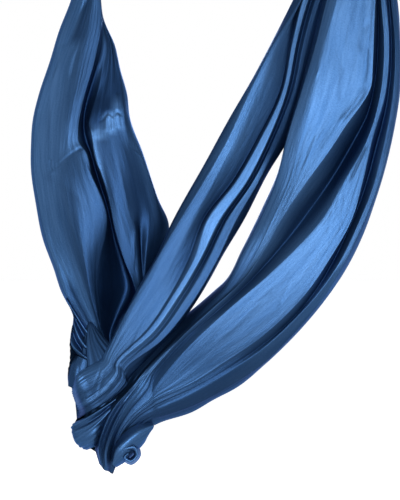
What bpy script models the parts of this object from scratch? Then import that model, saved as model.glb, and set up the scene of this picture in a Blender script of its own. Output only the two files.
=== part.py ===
"""Aerial yoga hammock: one sheet of nylon cloth, hung by rope slings from two screw-gate carabiners.

Metres, +Z up. The origin is the middle of the left ceiling plate's upper face. X runs from the left plate
to the right one, and the front of the hammock faces -Y. The cloth is knotted low down, left of its middle,
so that it clears the floor. Each half of the cloth runs down an arm line, from its gather under the end
knot to the middle of the low knot. A place on the cloth is given by how far along the arm line it lies,
from 0 to 1, and how far across from that line, to the right.
"""

import math

import bmesh
import bpy
from mathutils import Matrix, Vector

# The two ceiling plates.
ANCHOR_SPACING = 0.610
PLATE_LENGTH = 0.096
PLATE_WIDTH = 0.050
PLATE_THICKNESS = 0.006
PLATE_CORNER_RADIUS = 0.010
SCREW_HOLE_DIAMETER = 0.0090
SCREW_HOLE_INSET = 0.012

# The bow under each plate, bent from round bar, with its ends set in the plate's sockets.
EYE_BAR = 0.009
EYE_INNER_WIDTH = 0.028
EYE_DROP = 0.036
EYE_BEND_RADIUS = 0.012
EYE_SOCKET_DEPTH = 0.0035

# The oval carabiner, measured along the middle of its bar.
CARABINER_BAR = 0.012
BOW_RADIUS = 0.024
STRAIGHT_LENGTH = 0.048
NOSE_DIAMETER = 0.0108
NOSE_RISE = 0.008

# Its gate, with a fork that straddles the body's tongue, the pin through both, and the lock sleeve.
NOSE_STEP = 0.0008
GATE_DIAMETER = 0.0108
HINGE_DROP = 0.0064
TONGUE_THICKNESS = 0.0044
TONGUE_RADIUS = 0.0046
TONGUE_ROOT = 0.004
HINGE_PIN_DIAMETER = 0.003
NOSE_GAP = 0.0009
SPRING_BORE_DIAMETER = 0.0048
SPRING_BORE_DEPTH = 0.0150
SPRING_WIRE = 0.0006
SPRING_DIAMETER = 0.0034
SPRING_TURNS = 5
PLUNGER_DIAMETER = 0.0038
PLUNGER_LENGTH = 0.0045
SLEEVE_LENGTH = 0.018
SLEEVE_DIAMETER = 0.0168
SLEEVE_CLEARANCE = 0.0004
SLEEVE_LIFT = 0.0018
SLEEVE_FLUTES = 10
FLUTE_DEPTH = 0.0007

# The rope slings, and the stopper knots in the cloth's two ends.
ROPE = 0.009
TURN_PITCH = 0.0097
END_KNOT_RADIUS = 0.030
END_KNOT_HEIGHT = 0.062
END_KNOT_NECK = 0.014
FRILL_BELOW_CARABINER = 0.006
FRILL_HEIGHT = 0.016
FRILL_REACH = 0.030
FRILL_THICKNESS = 0.014
GATHER_RADIUS = 0.020
KNOT_TO_ROPE = 0.0115
ROPE_TO_FANNING = 0.024
NECK_ABOVE_FANNING = 0.011

# The rope's way past the stopper knot: how far below the carabiner it has spread out, how long it runs
# straight beside the knot, and where it has come in again to the cloth.
ROPE_SPREAD_DROP = 0.022
ROPE_BESIDE_KNOT = 0.028
ROPE_LEAD_OUT = 0.007
ROPE_LEAD_HEIGHT = 0.012

# The middle of the low knot, and how thick the knot is from front to back.
LOW_KNOT_X = 0.046
LOW_KNOT_DROP = 1.404
LOW_KNOT_THICKNESS = 0.116
LOW_KNOT_BACK = 0.016
KNOT_ROUNDNESS = 2.6

# Neighbours keep this far apart: metal on metal, cloth on cloth, and the two bands of the right arm.
METAL_GAP = 0.0003
CLOTH_GAP = 0.0006
BAND_GAP = 0.0012

# How finely round things are drawn.
BAR_SIDES = 14
PIN_SIDES = 12
SPRING_SIDES = 10
WIRE_SIDES = 5
ROPE_SIDES = 8
ROPE_STEP = 0.0065
CLOTH_SIDES = 20
RING_STEP = 0.035
KNOT_STEP = 0.014
KNOT_LAYERS = 8

# How far a cutting shape runs past what it cuts.
OVERRUN = 0.010

# The left half's outline: (along, across), and its depth: (along, middle of the depth, half the depth).
LEFT_OUTER_EDGE = (
    (0.000, -0.020), (0.110, -0.023), (0.180, -0.031), (0.232, -0.050), (0.347, -0.102), (0.458, -0.145),
    (0.511, -0.152), (0.621, -0.146), (0.748, -0.111), (0.843, -0.073), (0.876, -0.077), (0.930, -0.074),
)
LEFT_INNER_EDGE = (
    (0.000, 0.020), (0.110, 0.021), (0.234, 0.017), (0.323, 0.044), (0.417, 0.067), (0.527, 0.095),
    (0.617, 0.124), (0.672, 0.149), (0.743, 0.134), (0.797, 0.098), (0.847, 0.046), (0.930, -0.002),
)
LEFT_DEPTH = (
    (0.000, 0.000, 0.020), (0.180, 0.003, 0.023), (0.347, 0.016, 0.034), (0.511, 0.030, 0.044),
    (0.640, 0.036, 0.044), (0.780, 0.038, 0.038), (0.850, 0.034, 0.034), (0.930, 0.026, 0.032),
)
LEFT_GATHER_END = 0.190
LEFT_DRAPE_END = 0.846
COLLAR_SHARE = 0.065
LEFT_COLLAR_END = LEFT_DRAPE_END + COLLAR_SHARE

# The right half's outline, and the two edges of the slit between its inner and its outer band.
RIGHT_INNER_EDGE = (
    (0.000, -0.020), (0.120, -0.020), (0.253, -0.019), (0.397, -0.023), (0.477, -0.030), (0.561, -0.035),
    (0.683, -0.044), (0.804, -0.047), (0.927, -0.055), (1.020, -0.070),
)
RIGHT_OUTER_EDGE = (
    (0.000, 0.021), (0.050, 0.062), (0.105, 0.125), (0.170, 0.191), (0.238, 0.238), (0.305, 0.275),
    (0.369, 0.304), (0.436, 0.323), (0.551, 0.343), (0.616, 0.347), (0.684, 0.331), (0.753, 0.309),
    (0.826, 0.274), (0.885, 0.240), (0.918, 0.208), (0.958, 0.175), (0.981, 0.141), (1.060, 0.060),
)
SLIT_INNER_EDGE = (
    (0.120, 0.028), (0.226, 0.053), (0.361, 0.092), (0.464, 0.104), (0.538, 0.090), (0.642, 0.090),
    (0.731, 0.081), (0.828, 0.071), (0.898, 0.041), (0.949, 0.027), (1.020, 0.010),
)
SLIT_OUTER_EDGE = (
    (0.120, 0.028), (0.226, 0.053), (0.361, 0.092), (0.464, 0.104), (0.515, 0.118), (0.591, 0.124),
    (0.667, 0.126), (0.723, 0.122), (0.742, 0.114), (0.791, 0.087), (0.828, 0.071), (0.898, 0.041),
    (0.949, 0.027), (1.020, 0.010),
)
RIGHT_GATHER_DEPTH = (
    (0.000, 0.000, 0.020), (0.080, -0.001, 0.025), (0.190, -0.003, 0.030),
)
INNER_BAND_DEPTH = (
    (0.100, -0.004, 0.024), (0.420, -0.024, 0.028), (0.600, -0.034, 0.030), (0.800, -0.040, 0.030),
    (0.930, -0.034, 0.034), (1.020, -0.030, 0.036),
)
OUTER_BAND_DEPTH = (
    (0.100, -0.002, 0.028), (0.300, -0.004, 0.040), (0.500, -0.010, 0.052), (0.650, -0.012, 0.054),
    (0.800, -0.010, 0.048), (0.900, -0.008, 0.044), (1.020, -0.006, 0.042),
)
RIGHT_GATHER_END = 0.150
BAND_REACH = RIGHT_INNER_EDGE[-1][0]

# The main folds on the fronts of the two broad pieces, each as (along, across, depth): a crest stands
# forward and a valley lies back. They are listed from the piece's left side to its right one.
DRAPE_LEFT_RIM = (
    (0.190, -0.026, 0.000), (0.300, -0.071, 0.004), (0.400, -0.114, 0.013), (0.460, -0.136, 0.018),
    (0.550, -0.144, 0.021), (0.650, -0.132, 0.022), (0.750, -0.102, 0.022), (0.850, -0.060, 0.023),
)
DRAPE_PANEL_CREST = (
    (0.190, 0.000, -0.015), (0.300, 0.010, -0.018), (0.400, -0.010, -0.019), (0.460, -0.031, -0.015),
    (0.550, -0.024, -0.020), (0.650, -0.007, -0.011), (0.750, -0.025, 0.001), (0.850, -0.013, 0.009),
)
DRAPE_VALLEY = (
    (0.190, 0.005, -0.006), (0.300, 0.017, 0.006), (0.400, -0.002, 0.017), (0.460, -0.019, 0.018),
    (0.550, -0.010, 0.014), (0.650, 0.020, 0.024), (0.750, 0.045, 0.040), (0.850, 0.022, 0.030),
)
DRAPE_FRONT_CREST = (
    (0.190, 0.010, 0.001), (0.300, 0.023, 0.003), (0.400, 0.016, 0.004), (0.460, -0.006, 0.000),
    (0.550, 0.005, -0.020), (0.650, 0.029, -0.014), (0.750, 0.058, -0.002), (0.850, 0.034, 0.015),
)
DRAPE_FRONT_SLOPE = (
    (0.190, 0.014, 0.003), (0.300, 0.030, 0.010), (0.400, 0.046, 0.010), (0.460, 0.047, 0.006),
    (0.550, 0.064, -0.006), (0.650, 0.083, 0.001), (0.750, 0.083, 0.010), (0.850, 0.040, 0.020),
)
BAND_PANEL_LEFT = (
    (0.150, 0.049, -0.025), (0.250, 0.081, -0.036), (0.350, 0.101, -0.044), (0.450, 0.124, -0.048),
    (0.550, 0.147, -0.050), (0.650, 0.150, -0.052), (0.780, 0.104, -0.050), (0.900, 0.052, -0.048),
    (1.020, 0.020, -0.044),
)
BAND_PANEL_RIGHT = (
    (0.150, 0.105, -0.034), (0.250, 0.165, -0.048), (0.350, 0.206, -0.056), (0.450, 0.192, -0.060),
    (0.550, 0.181, -0.059), (0.650, 0.166, -0.057), (0.780, 0.117, -0.058), (0.900, 0.063, -0.056),
    (1.020, 0.032, -0.050),
)
BAND_VALLEY = (
    (0.150, 0.120, -0.008), (0.250, 0.190, -0.008), (0.350, 0.235, -0.009), (0.450, 0.236, -0.015),
    (0.550, 0.216, -0.025), (0.650, 0.188, -0.034), (0.780, 0.130, -0.047), (0.900, 0.075, -0.050),
    (1.020, 0.044, -0.046),
)
BAND_SECOND_LEFT = (
    (0.150, 0.130, -0.020), (0.250, 0.209, -0.030), (0.350, 0.254, -0.035), (0.450, 0.261, -0.043),
    (0.550, 0.240, -0.050), (0.650, 0.206, -0.055), (0.780, 0.143, -0.060), (0.900, 0.090, -0.060),
    (1.020, 0.058, -0.052),
)
BAND_SECOND_RIGHT = (
    (0.150, 0.140, -0.017), (0.250, 0.219, -0.026), (0.350, 0.265, -0.032), (0.450, 0.290, -0.040),
    (0.550, 0.292, -0.046), (0.650, 0.287, -0.051), (0.780, 0.238, -0.055), (0.900, 0.150, -0.057),
    (1.020, 0.070, -0.048),
)
BAND_OUTER_VALLEY = (
    (0.150, 0.151, -0.003), (0.250, 0.231, -0.006), (0.350, 0.279, -0.009), (0.450, 0.308, -0.013),
    (0.550, 0.316, -0.020), (0.650, 0.310, -0.029), (0.780, 0.260, -0.040), (0.900, 0.168, -0.046),
    (1.020, 0.080, -0.042),
)
DRAPE_FOLDS = (DRAPE_LEFT_RIM, DRAPE_PANEL_CREST, DRAPE_VALLEY, DRAPE_FRONT_CREST, DRAPE_FRONT_SLOPE)
BAND_FOLDS = (BAND_PANEL_LEFT, BAND_PANEL_RIGHT, BAND_VALLEY, BAND_SECOND_LEFT, BAND_SECOND_RIGHT, BAND_OUTER_VALLEY)

# Between a piece's side and its nearest fold, where the cloth rounds over: how far in, and how far forward.
ROUND_OVER = (0.35, 0.62)

# Where the two bands meet the low knot: a slanted plane, given by its highest point and its slope.
KNOT_ENTRY = (-0.011, 0.105)
KNOT_ENTRY_SLOPE = math.radians(-45.0)

# The low knot's outline seen from the front, from its middle, and the creases that part its turns. Each
# crease is two points on it. The outline's upper and right sides run past the planes that trim them.
LOW_KNOT_OUTLINE = (
    (-0.066, 0.128), (-0.045, 0.160), (0.010, 0.172), (0.100, 0.140), (0.170, 0.075), (0.180, 0.000),
    (0.137, -0.042), (0.115, -0.051), (0.095, -0.062), (0.082, -0.075), (0.060, -0.110), (0.053, -0.130),
    (0.027, -0.139), (0.005, -0.163), (-0.024, -0.123), (-0.053, -0.097), (-0.072, -0.082),
    (-0.077, -0.046), (-0.061, -0.031), (-0.079, 0.017), (-0.090, 0.031), (-0.083, 0.081),
)
RUFFLE_CREASE = ((-0.030, 0.105), (-0.085, 0.008))
WRAP_CREASE = ((-0.077, -0.046), (0.051, 0.044))
BULGE_CREASE = ((0.032, 0.031), (-0.026, -0.104))
TUCK_CREASE = ((0.115, -0.011), (0.011, -0.090))
CURL_CREASE = ((0.016, -0.086), (0.022, -0.160))


def clear_scene():
    for old in list(bpy.data.objects):
        bpy.data.objects.remove(old, do_unlink=True)


def material(name, colour, roughness, metallic):
    made = bpy.data.materials.new(name)
    made.use_nodes = True
    shader = made.node_tree.nodes["Principled BSDF"]
    shader.inputs["Base Color"].default_value = (*colour, 1.0)
    shader.inputs["Roughness"].default_value = roughness
    shader.inputs["Metallic"].default_value = metallic
    made.diffuse_color = (*colour, 1.0)
    return made


def world_place(thing):
    """The world place of an object. Nothing here is turned or scaled, so places add up."""
    place = Vector(thing.location)
    while thing.parent:
        thing = thing.parent
        place += thing.location
    return place


def axis_empty(name, place, parent=None):
    empty = bpy.data.objects.new(name, None)
    bpy.context.scene.collection.objects.link(empty)
    empty.parent = parent
    empty.location = Vector(place) - (world_place(parent) if parent else Vector())
    return empty


def piece(name, shape, finish, origin=(0.0, 0.0, 0.0), parent=None):
    """Makes a bmesh, drawn in world places, into an object with the given origin."""
    bmesh.ops.recalc_face_normals(shape, faces=shape.faces)
    mesh = bpy.data.meshes.new(name)
    shape.to_mesh(mesh)
    shape.free()
    mesh.transform(Matrix.Translation(-Vector(origin)))
    mesh.shade_smooth()
    mesh.set_sharp_from_angle(angle=math.radians(40.0))
    if finish:
        mesh.materials.append(finish)
    made = bpy.data.objects.new(name, mesh)
    bpy.context.scene.collection.objects.link(made)
    made.parent = parent
    made.location = Vector(origin) - (world_place(parent) if parent else Vector())
    return made


def combine(target, name, shape, operation):
    """Cuts a helper shape out of the target, adds it or keeps what both share."""
    helper = piece(name, shape, None)
    helper.hide_render = True
    helper.display_type = "WIRE"
    modifier = target.modifiers.new(name, "BOOLEAN")
    modifier.operation = operation
    modifier.solver = "EXACT"
    modifier.object = helper


def frames_along(points, closed):
    """A pair of side directions at each point, carried along the route without twisting."""
    count = len(points)
    ways = []
    for i, point in enumerate(points):
        before = points[(i - 1) % count] if closed or i > 0 else point
        after = points[(i + 1) % count] if closed or i < count - 1 else point
        ways.append((after - before).normalized())
    side = ways[0].orthogonal().normalized()
    frames = []
    for i, way in enumerate(ways):
        if i > 0:
            side = (ways[i - 1].rotation_difference(way) @ side).normalized()
        frames.append((side, way.cross(side)))
    return frames


def tube(points, radii, sides, closed=False):
    """A round bar along the points. A closed route has no ends."""
    points = [Vector(p) for p in points]
    if isinstance(radii, float):
        radii = [radii] * len(points)
    shape = bmesh.new()
    rings = []
    for point, radius, (u, v) in zip(points, radii, frames_along(points, closed)):
        ring = []
        for k in range(sides):
            turn = 2.0 * math.pi * k / sides
            ring.append(shape.verts.new(point + (u * math.cos(turn) + v * math.sin(turn)) * radius))
        rings.append(ring)
    join_rings(shape, rings, closed)
    return shape


def join_rings(shape, rings, closed=False):
    """Bridges each ring of points to the next. A closed run's last ring may start anywhere on its circle."""
    sides = len(rings[0])
    for first, second in zip(rings, rings[1:]):
        for k in range(sides):
            shape.faces.new((first[k], first[(k + 1) % sides], second[(k + 1) % sides], second[k]))
    if closed:
        start, end = rings[0], rings[-1]
        shift = min(range(sides), key=lambda s: sum((end[k].co - start[(k + s) % sides].co).length
                                                    for k in range(sides)))
        for k in range(sides):
            a, b = (k + shift) % sides, (k + 1 + shift) % sides
            shape.faces.new((end[k], end[(k + 1) % sides], start[b], start[a]))
    else:
        shape.faces.new(list(reversed(rings[0])))
        shape.faces.new(rings[-1])


def prism(outline, axis, start, end):
    """An outline pushed along X or Z. Across X it is (y, z) and across Z it is (x, y)."""
    shape = bmesh.new()
    rings = []
    for level in (start, end):
        if axis == "X":
            rings.append([shape.verts.new((level, a, b)) for a, b in outline])
        else:
            rings.append([shape.verts.new((a, b, level)) for a, b in outline])
    join_rings(shape, rings)
    return shape


def box(x_range, y_range, z_range):
    (x0, x1), (y0, y1) = x_range, y_range
    return prism([(x0, y0), (x1, y0), (x1, y1), (x0, y1)], "Z", *z_range)


def arc(centre, radius, start_deg, end_deg, steps):
    """Points on an arc, in the plane of the centre's two values."""
    points = []
    for k in range(steps + 1):
        turn = math.radians(start_deg + (end_deg - start_deg) * k / steps)
        points.append((centre[0] + radius * math.cos(turn), centre[1] + radius * math.sin(turn)))
    return points


def circle(centre, radius, sides):
    return arc(centre, radius, 0.0, 360.0 * (sides - 1) / sides, sides - 1)


def spline(table, along):
    """Reads a short table of (place, value, ...) at a place between its rows, as a smooth curve."""
    last = len(table) - 1
    i = max(k for k in range(last) if k == 0 or table[k][0] <= along)
    here, there = table[i], table[i + 1]
    before, after = table[max(i - 1, 0)], table[min(i + 2, last)]
    span = there[0] - here[0]
    t = (along - here[0]) / span
    values = []
    for c in range(1, len(here)):
        slope_here = (there[c] - before[c]) / (there[0] - before[0]) * span
        slope_there = (after[c] - here[c]) / (after[0] - here[0]) * span
        values.append(
            (2 * t**3 - 3 * t**2 + 1) * here[c] + (t**3 - 2 * t**2 + t) * slope_here
            + (3 * t**2 - 2 * t**3) * there[c] + (t**3 - t**2) * slope_there
        )
    return values


# Heights that the hanging pieces share.
LEFT_X = 0.0
RIGHT_X = LEFT_X + ANCHOR_SPACING
EYE_AXIS_Z = -EYE_DROP
TOP_BOW_Z = EYE_AXIS_Z + (EYE_BAR + CARABINER_BAR) / 2 + METAL_GAP
UPPER_CENTRE_Z = TOP_BOW_Z - BOW_RADIUS
LOWER_CENTRE_Z = UPPER_CENTRE_Z - STRAIGHT_LENGTH
LOW_BOW_Z = LOWER_CENTRE_Z - BOW_RADIUS
HINGE_Z = UPPER_CENTRE_Z - HINGE_DROP
NOSE_Z = LOWER_CENTRE_Z + NOSE_RISE
GATE_END_Z = NOSE_Z + NOSE_GAP
GATE_Y = -BOW_RADIUS
FRILL_TOP_Z = LOW_BOW_Z - CARABINER_BAR / 2 - FRILL_BELOW_CARABINER
END_KNOT_TOP_Z = FRILL_TOP_Z - FRILL_HEIGHT
END_KNOT_LOW_Z = END_KNOT_TOP_Z - END_KNOT_HEIGHT
CHOKE_Z = END_KNOT_LOW_Z - KNOT_TO_ROPE
GATHER_Z = CHOKE_Z - ROPE_TO_FANNING
LOW_KNOT = Vector((LOW_KNOT_X, 0.0, -LOW_KNOT_DROP))


def ceiling_plate(side, x, steel):
    """A steel plate with two screw holes, and two blind sockets below for the eye bow's ends."""
    half_length, half_width = PLATE_LENGTH / 2, PLATE_WIDTH / 2
    corner = PLATE_CORNER_RADIUS
    outline = []
    for quarter, (sx, sy) in enumerate(((1, 1), (-1, 1), (-1, -1), (1, -1))):
        centre = (x + sx * (half_length - corner), sy * (half_width - corner))
        outline += arc(centre, corner, 90.0 * quarter, 90.0 * (quarter + 1), 4)
    plate = piece(f"{side}_ceiling_plate", prism(outline, "Z", -PLATE_THICKNESS, 0.0), steel)
    hole_reach = half_length - SCREW_HOLE_INSET
    below = -PLATE_THICKNESS - OVERRUN
    floor = EYE_SOCKET_DEPTH - PLATE_THICKNESS
    for sign, end in ((-1, "left"), (1, "right")):
        hole = circle((x + sign * hole_reach, 0.0), SCREW_HOLE_DIAMETER / 2, BAR_SIDES)
        hole = prism(hole, "Z", below, OVERRUN)
        combine(plate, f"{side}_plate_{end}_screw_hole", hole, "DIFFERENCE")
        socket = circle((x + sign * eye_reach(), 0.0), EYE_BAR / 2 + METAL_GAP, BAR_SIDES)
        socket = prism(socket, "Z", below, floor)
        combine(plate, f"{side}_plate_{end}_socket", socket, "DIFFERENCE")


def eye_reach():
    """How far the middle of each of the eye bow's legs stands from the plate's middle."""
    return (EYE_INNER_WIDTH + EYE_BAR) / 2


def eye_bow(side, x, steel):
    """A U of round bar under the plate. The carabiner hangs on its level part."""
    reach, bend = eye_reach(), EYE_BEND_RADIUS
    top = EYE_SOCKET_DEPTH - PLATE_THICKNESS - METAL_GAP
    route = [(x - reach, top)]
    route += arc((x - reach + bend, EYE_AXIS_Z + bend), bend, 180.0, 270.0, 6)
    route += arc((x + reach - bend, EYE_AXIS_Z + bend), bend, 270.0, 360.0, 6)
    route += [(x + reach, top)]
    piece(f"{side}_eye_bow", tube([(a, 0.0, b) for a, b in route], EYE_BAR / 2, BAR_SIDES), steel)


def carabiner_body(side, x, steel, swing):
    """An oval bar from the gate's hinge round to the nose, with a flat tongue that carries the pin."""
    route = [(x, GATE_Y, UPPER_CENTRE_Z)]
    route += [(x, a, b) for a, b in arc((0.0, UPPER_CENTRE_Z), BOW_RADIUS, 180.0, 0.0, 14)[1:]]
    route += [(x, a, b) for a, b in arc((0.0, LOWER_CENTRE_Z), BOW_RADIUS, 360.0, 180.0, 14)]
    radii = [CARABINER_BAR / 2] * len(route)
    route += [(x, GATE_Y, LOWER_CENTRE_Z + NOSE_STEP), (x, GATE_Y, NOSE_Z)]
    radii += [NOSE_DIAMETER / 2] * 2
    bar = tube(route, radii, BAR_SIDES)
    body = piece(f"{side}_carabiner_body", bar, steel, (x, 0.0, EYE_AXIS_Z), swing)
    root = UPPER_CENTRE_Z + TONGUE_ROOT
    tongue = arc((GATE_Y, HINGE_Z), TONGUE_RADIUS, 180.0, 360.0, 10)
    tongue += [(GATE_Y + TONGUE_RADIUS, root), (GATE_Y - TONGUE_RADIUS, root)]
    half = TONGUE_THICKNESS / 2
    combine(body, f"{side}_tongue", prism(tongue, "X", x - half, x + half), "UNION")
    combine(body, f"{side}_tongue_pin_hole", pin_hole(x), "DIFFERENCE")


def pin_hole(x):
    """The hole for the gate's pin, through the tongue and through the gate's fork."""
    outline = circle((GATE_Y, HINGE_Z), HINGE_PIN_DIAMETER / 2 + METAL_GAP, PIN_SIDES)
    return prism(outline, "X", x - OVERRUN, x + OVERRUN)


def gate_pin(side, x, steel, swing):
    pin = circle((GATE_Y, HINGE_Z), HINGE_PIN_DIAMETER / 2, PIN_SIDES)
    half = GATE_DIAMETER / 2 - METAL_GAP
    pin = prism(pin, "X", x - half, x + half)
    piece(f"{side}_gate_pin", pin, steel, (x, GATE_Y, HINGE_Z), swing)


def gate(side, x, steel, swing):
    """A round bar, forked over the tongue, with a bore down its middle for the spring and plunger."""
    radius = GATE_DIAMETER / 2
    route = [(x, GATE_Y, z) for z in (GATE_END_Z, HINGE_Z, HINGE_Z + GATE_DIAMETER)]
    made = piece(f"{side}_gate", tube(route, radius, BAR_SIDES), steel, (x, GATE_Y, HINGE_Z), swing)
    rounded = arc((GATE_Y, HINGE_Z), radius, 0.0, 180.0, 10)
    rounded += [(GATE_Y - OVERRUN, HINGE_Z), (GATE_Y - OVERRUN, GATE_END_Z - OVERRUN),
                (GATE_Y + OVERRUN, GATE_END_Z - OVERRUN), (GATE_Y + OVERRUN, HINGE_Z)]
    combine(made, f"{side}_gate_rounding", prism(rounded, "X", x - OVERRUN, x + OVERRUN), "INTERSECT")
    half = TONGUE_THICKNESS / 2 + METAL_GAP
    fork = box((x - half, x + half), (GATE_Y - OVERRUN, GATE_Y + OVERRUN), (fork_floor(), HINGE_Z + OVERRUN))
    combine(made, f"{side}_gate_fork", fork, "DIFFERENCE")
    combine(made, f"{side}_gate_pin_hole", pin_hole(x), "DIFFERENCE")
    bore = circle((x, GATE_Y), SPRING_BORE_DIAMETER / 2, PIN_SIDES)
    bore = prism(bore, "Z", fork_floor() - SPRING_BORE_DEPTH, fork_floor() + METAL_GAP)
    combine(made, f"{side}_gate_bore", bore, "DIFFERENCE")
    return made


def fork_floor():
    """The floor of the gate's fork, just under the tongue's round end."""
    return plunger_top() - METAL_GAP


def plunger_top():
    """Where the plunger meets the tongue's round end."""
    return HINGE_Z - TONGUE_RADIUS - METAL_GAP


def gate_plunger(side, x, steel, parent):
    """A pin that the spring presses against the tongue's round end."""
    pin = circle((x, GATE_Y), PLUNGER_DIAMETER / 2, PIN_SIDES)
    pin = prism(pin, "Z", plunger_top() - PLUNGER_LENGTH, plunger_top())
    piece(f"{side}_gate_plunger", pin, steel, (x, GATE_Y, HINGE_Z), parent)


def gate_spring(side, x, steel, parent):
    """A coil of wire from the bore's floor up to the plunger."""
    low = fork_floor() - SPRING_BORE_DEPTH + METAL_GAP + SPRING_WIRE / 2
    high = plunger_top() - PLUNGER_LENGTH - METAL_GAP - SPRING_WIRE / 2
    radius = SPRING_DIAMETER / 2
    steps = SPRING_SIDES * SPRING_TURNS
    route = []
    for k in range(steps + 1):
        turn = 2.0 * math.pi * k / SPRING_SIDES
        rise = (high - low) * k / steps
        route.append((x + radius * math.cos(turn), GATE_Y + radius * math.sin(turn), low + rise))
    coil = tube(route, SPRING_WIRE / 2, WIRE_SIDES)
    piece(f"{side}_gate_spring", coil, steel, (x, GATE_Y, HINGE_Z), parent)


def lock_sleeve(side, x, steel, parent):
    """A fluted nut on the gate. Screwed down it covers the nose; here it is screwed up."""
    low = GATE_END_Z + SLEEVE_LIFT
    outer = []
    sides = 4 * SLEEVE_FLUTES
    for k in range(sides):
        turn = 2.0 * math.pi * k / sides
        radius = SLEEVE_DIAMETER / 2 - (FLUTE_DEPTH if k % 4 == 0 else 0.0)
        outer.append((x + radius * math.cos(turn), GATE_Y + radius * math.sin(turn)))
    made = piece(f"{side}_lock_sleeve", prism(outer, "Z", low, low + SLEEVE_LENGTH), steel,
                 (x, GATE_Y, low), parent)
    bore = circle((x, GATE_Y), GATE_DIAMETER / 2 + SLEEVE_CLEARANCE, CLOTH_SIDES)
    bore = prism(bore, "Z", low - OVERRUN, low + SLEEVE_LENGTH + OVERRUN)
    combine(made, f"{side}_sleeve_bore", bore, "DIFFERENCE")


def rope_sling(side, x, rope, swing):
    """One endless rope: over the carabiner's low bow, down past the end knot, and choked round the cloth.

    From the right strand it winds one turn and a half round the gather, then passes outside its own first
    turn and goes up as the left strand.
    """
    over = (CARABINER_BAR + ROPE) / 2 + METAL_GAP
    past_knot = END_KNOT_RADIUS + CLOTH_GAP + ROPE / 2
    choke = GATHER_RADIUS + CLOTH_GAP + ROPE / 2
    outside = choke + ROPE + 2 * CLOTH_GAP
    spread = 0.4 * over + 0.6 * past_knot
    knot_middle = (END_KNOT_TOP_Z + END_KNOT_LOW_Z) / 2
    beside = ROPE_BESIDE_KNOT / 2
    marks = [(a, 0.0, b) for a, b in arc((0.0, LOW_BOW_Z), over, 180.0, 0.0, 8)]
    marks += [
        (spread, 0.0, LOW_BOW_Z - ROPE_SPREAD_DROP),
        (past_knot, 0.0, knot_middle + beside),
        (past_knot + CLOTH_GAP, 0.0, knot_middle),
        (past_knot, 0.0, knot_middle - beside),
        (choke + ROPE_LEAD_OUT, 0.0, CHOKE_Z + ROPE_LEAD_HEIGHT),
    ]
    # Half turns made, how far out from the first turn's radius to the outer one, and pitches dropped.
    winding = [(0.02 + eighth / 8, 0.0, eighth / 16) for eighth in range(1, 21)]
    winding += [(2.70, 0.30, 1.34), (2.84, 0.78, 1.28), (2.93, 1.02, 1.02), (2.97, 1.10, 0.62)]
    for half_turns, outward, drop in winding:
        radius = choke + (outside - choke) * outward
        turn = math.pi * half_turns
        marks.append((radius * math.cos(turn), radius * math.sin(turn), CHOKE_Z - TURN_PITCH * drop))
    marks += [
        (-outside - METAL_GAP, 0.0, CHOKE_Z + METAL_GAP),
        (-past_knot - CLOTH_GAP, 0.0, knot_middle - beside),
        (-past_knot - CLOTH_GAP, 0.0, knot_middle),
        (-past_knot, 0.0, knot_middle + beside),
        (-spread, 0.0, LOW_BOW_Z - ROPE_SPREAD_DROP),
    ]
    route = smooth_loop([Vector((x + a, b, c)) for a, b, c in marks], ROPE_STEP)
    loop = tube(route, ROPE / 2, ROPE_SIDES, closed=True)
    piece(f"{side}_rope_sling", loop, rope, (x, 0.0, EYE_AXIS_Z), swing)


def smooth_loop(marks, step):
    """A smooth closed curve through the marks, with points about a step apart."""
    points = []
    count = len(marks)
    for i in range(count):
        before, here, there, after = (marks[(i + k) % count] for k in (-1, 0, 1, 2))
        first = math.sqrt((here - before).length)
        span = math.sqrt((there - here).length)
        last = math.sqrt((after - there).length)
        leave = ((here - before) / first - (there - before) / (first + span) + (there - here) / span) * span
        reach = ((there - here) / span - (after - here) / (span + last) + (after - there) / last) * span
        parts = max(1, round((there - here).length / step))
        for k in range(parts):
            t = k / parts
            points.append(
                here * (2 * t**3 - 3 * t**2 + 1) + leave * (t**3 - 2 * t**2 + t)
                + there * (3 * t**2 - 2 * t**3) + reach * (t**3 - t**2)
            )
    return points


def stack(rings_of, sides):
    """A solid from rings given as (middle, half size along X, half size along Y)."""
    shape = bmesh.new()
    rings = []
    for middle, half_x, half_y in rings_of:
        ring = []
        for k in range(sides):
            turn = 2.0 * math.pi * k / sides
            corner = Vector((half_x * math.cos(turn), half_y * math.sin(turn), 0.0))
            ring.append(shape.verts.new(Vector(middle) + corner))
        rings.append(ring)
    join_rings(shape, rings)
    return shape


def end_knot(side, x, cloth, swing):
    """The stopper knot in the cloth's end: a round lump, flat where the frill and the gather meet it."""
    rings = []
    steps = 8
    middle = (END_KNOT_TOP_Z + END_KNOT_LOW_Z) / 2
    for k in range(steps + 1):
        lift = math.cos(math.pi * k / steps)
        neck = END_KNOT_NECK if k < steps / 2 else GATHER_RADIUS
        swell = (1.0 - abs(lift) ** 2.2) ** 0.5
        radius = neck + (END_KNOT_RADIUS - neck) * swell
        rings.append(((x, 0.0, middle + lift * END_KNOT_HEIGHT / 2), radius, radius))
    piece(f"{side}_end_knot", stack(rings, CLOTH_SIDES), cloth, (x, 0.0, EYE_AXIS_Z), swing)


def end_frill(side, x, cloth, swing):
    """The loose end of the cloth, fanned out above the stopper knot between the rope's strands."""
    low = END_KNOT_TOP_Z + CLOTH_GAP
    rings = []
    for share, reach in ((0.0, 0.36), (0.3, 0.55), (0.7, 0.88), (1.0, 1.0)):
        middle = (x, 0.0, low + (FRILL_TOP_Z - low) * share)
        rings.append((middle, FRILL_THICKNESS / 2, FRILL_REACH * reach))
    piece(f"{side}_end_frill", stack(rings, CLOTH_SIDES), cloth, (x, 0.0, EYE_AXIS_Z), swing)


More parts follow.
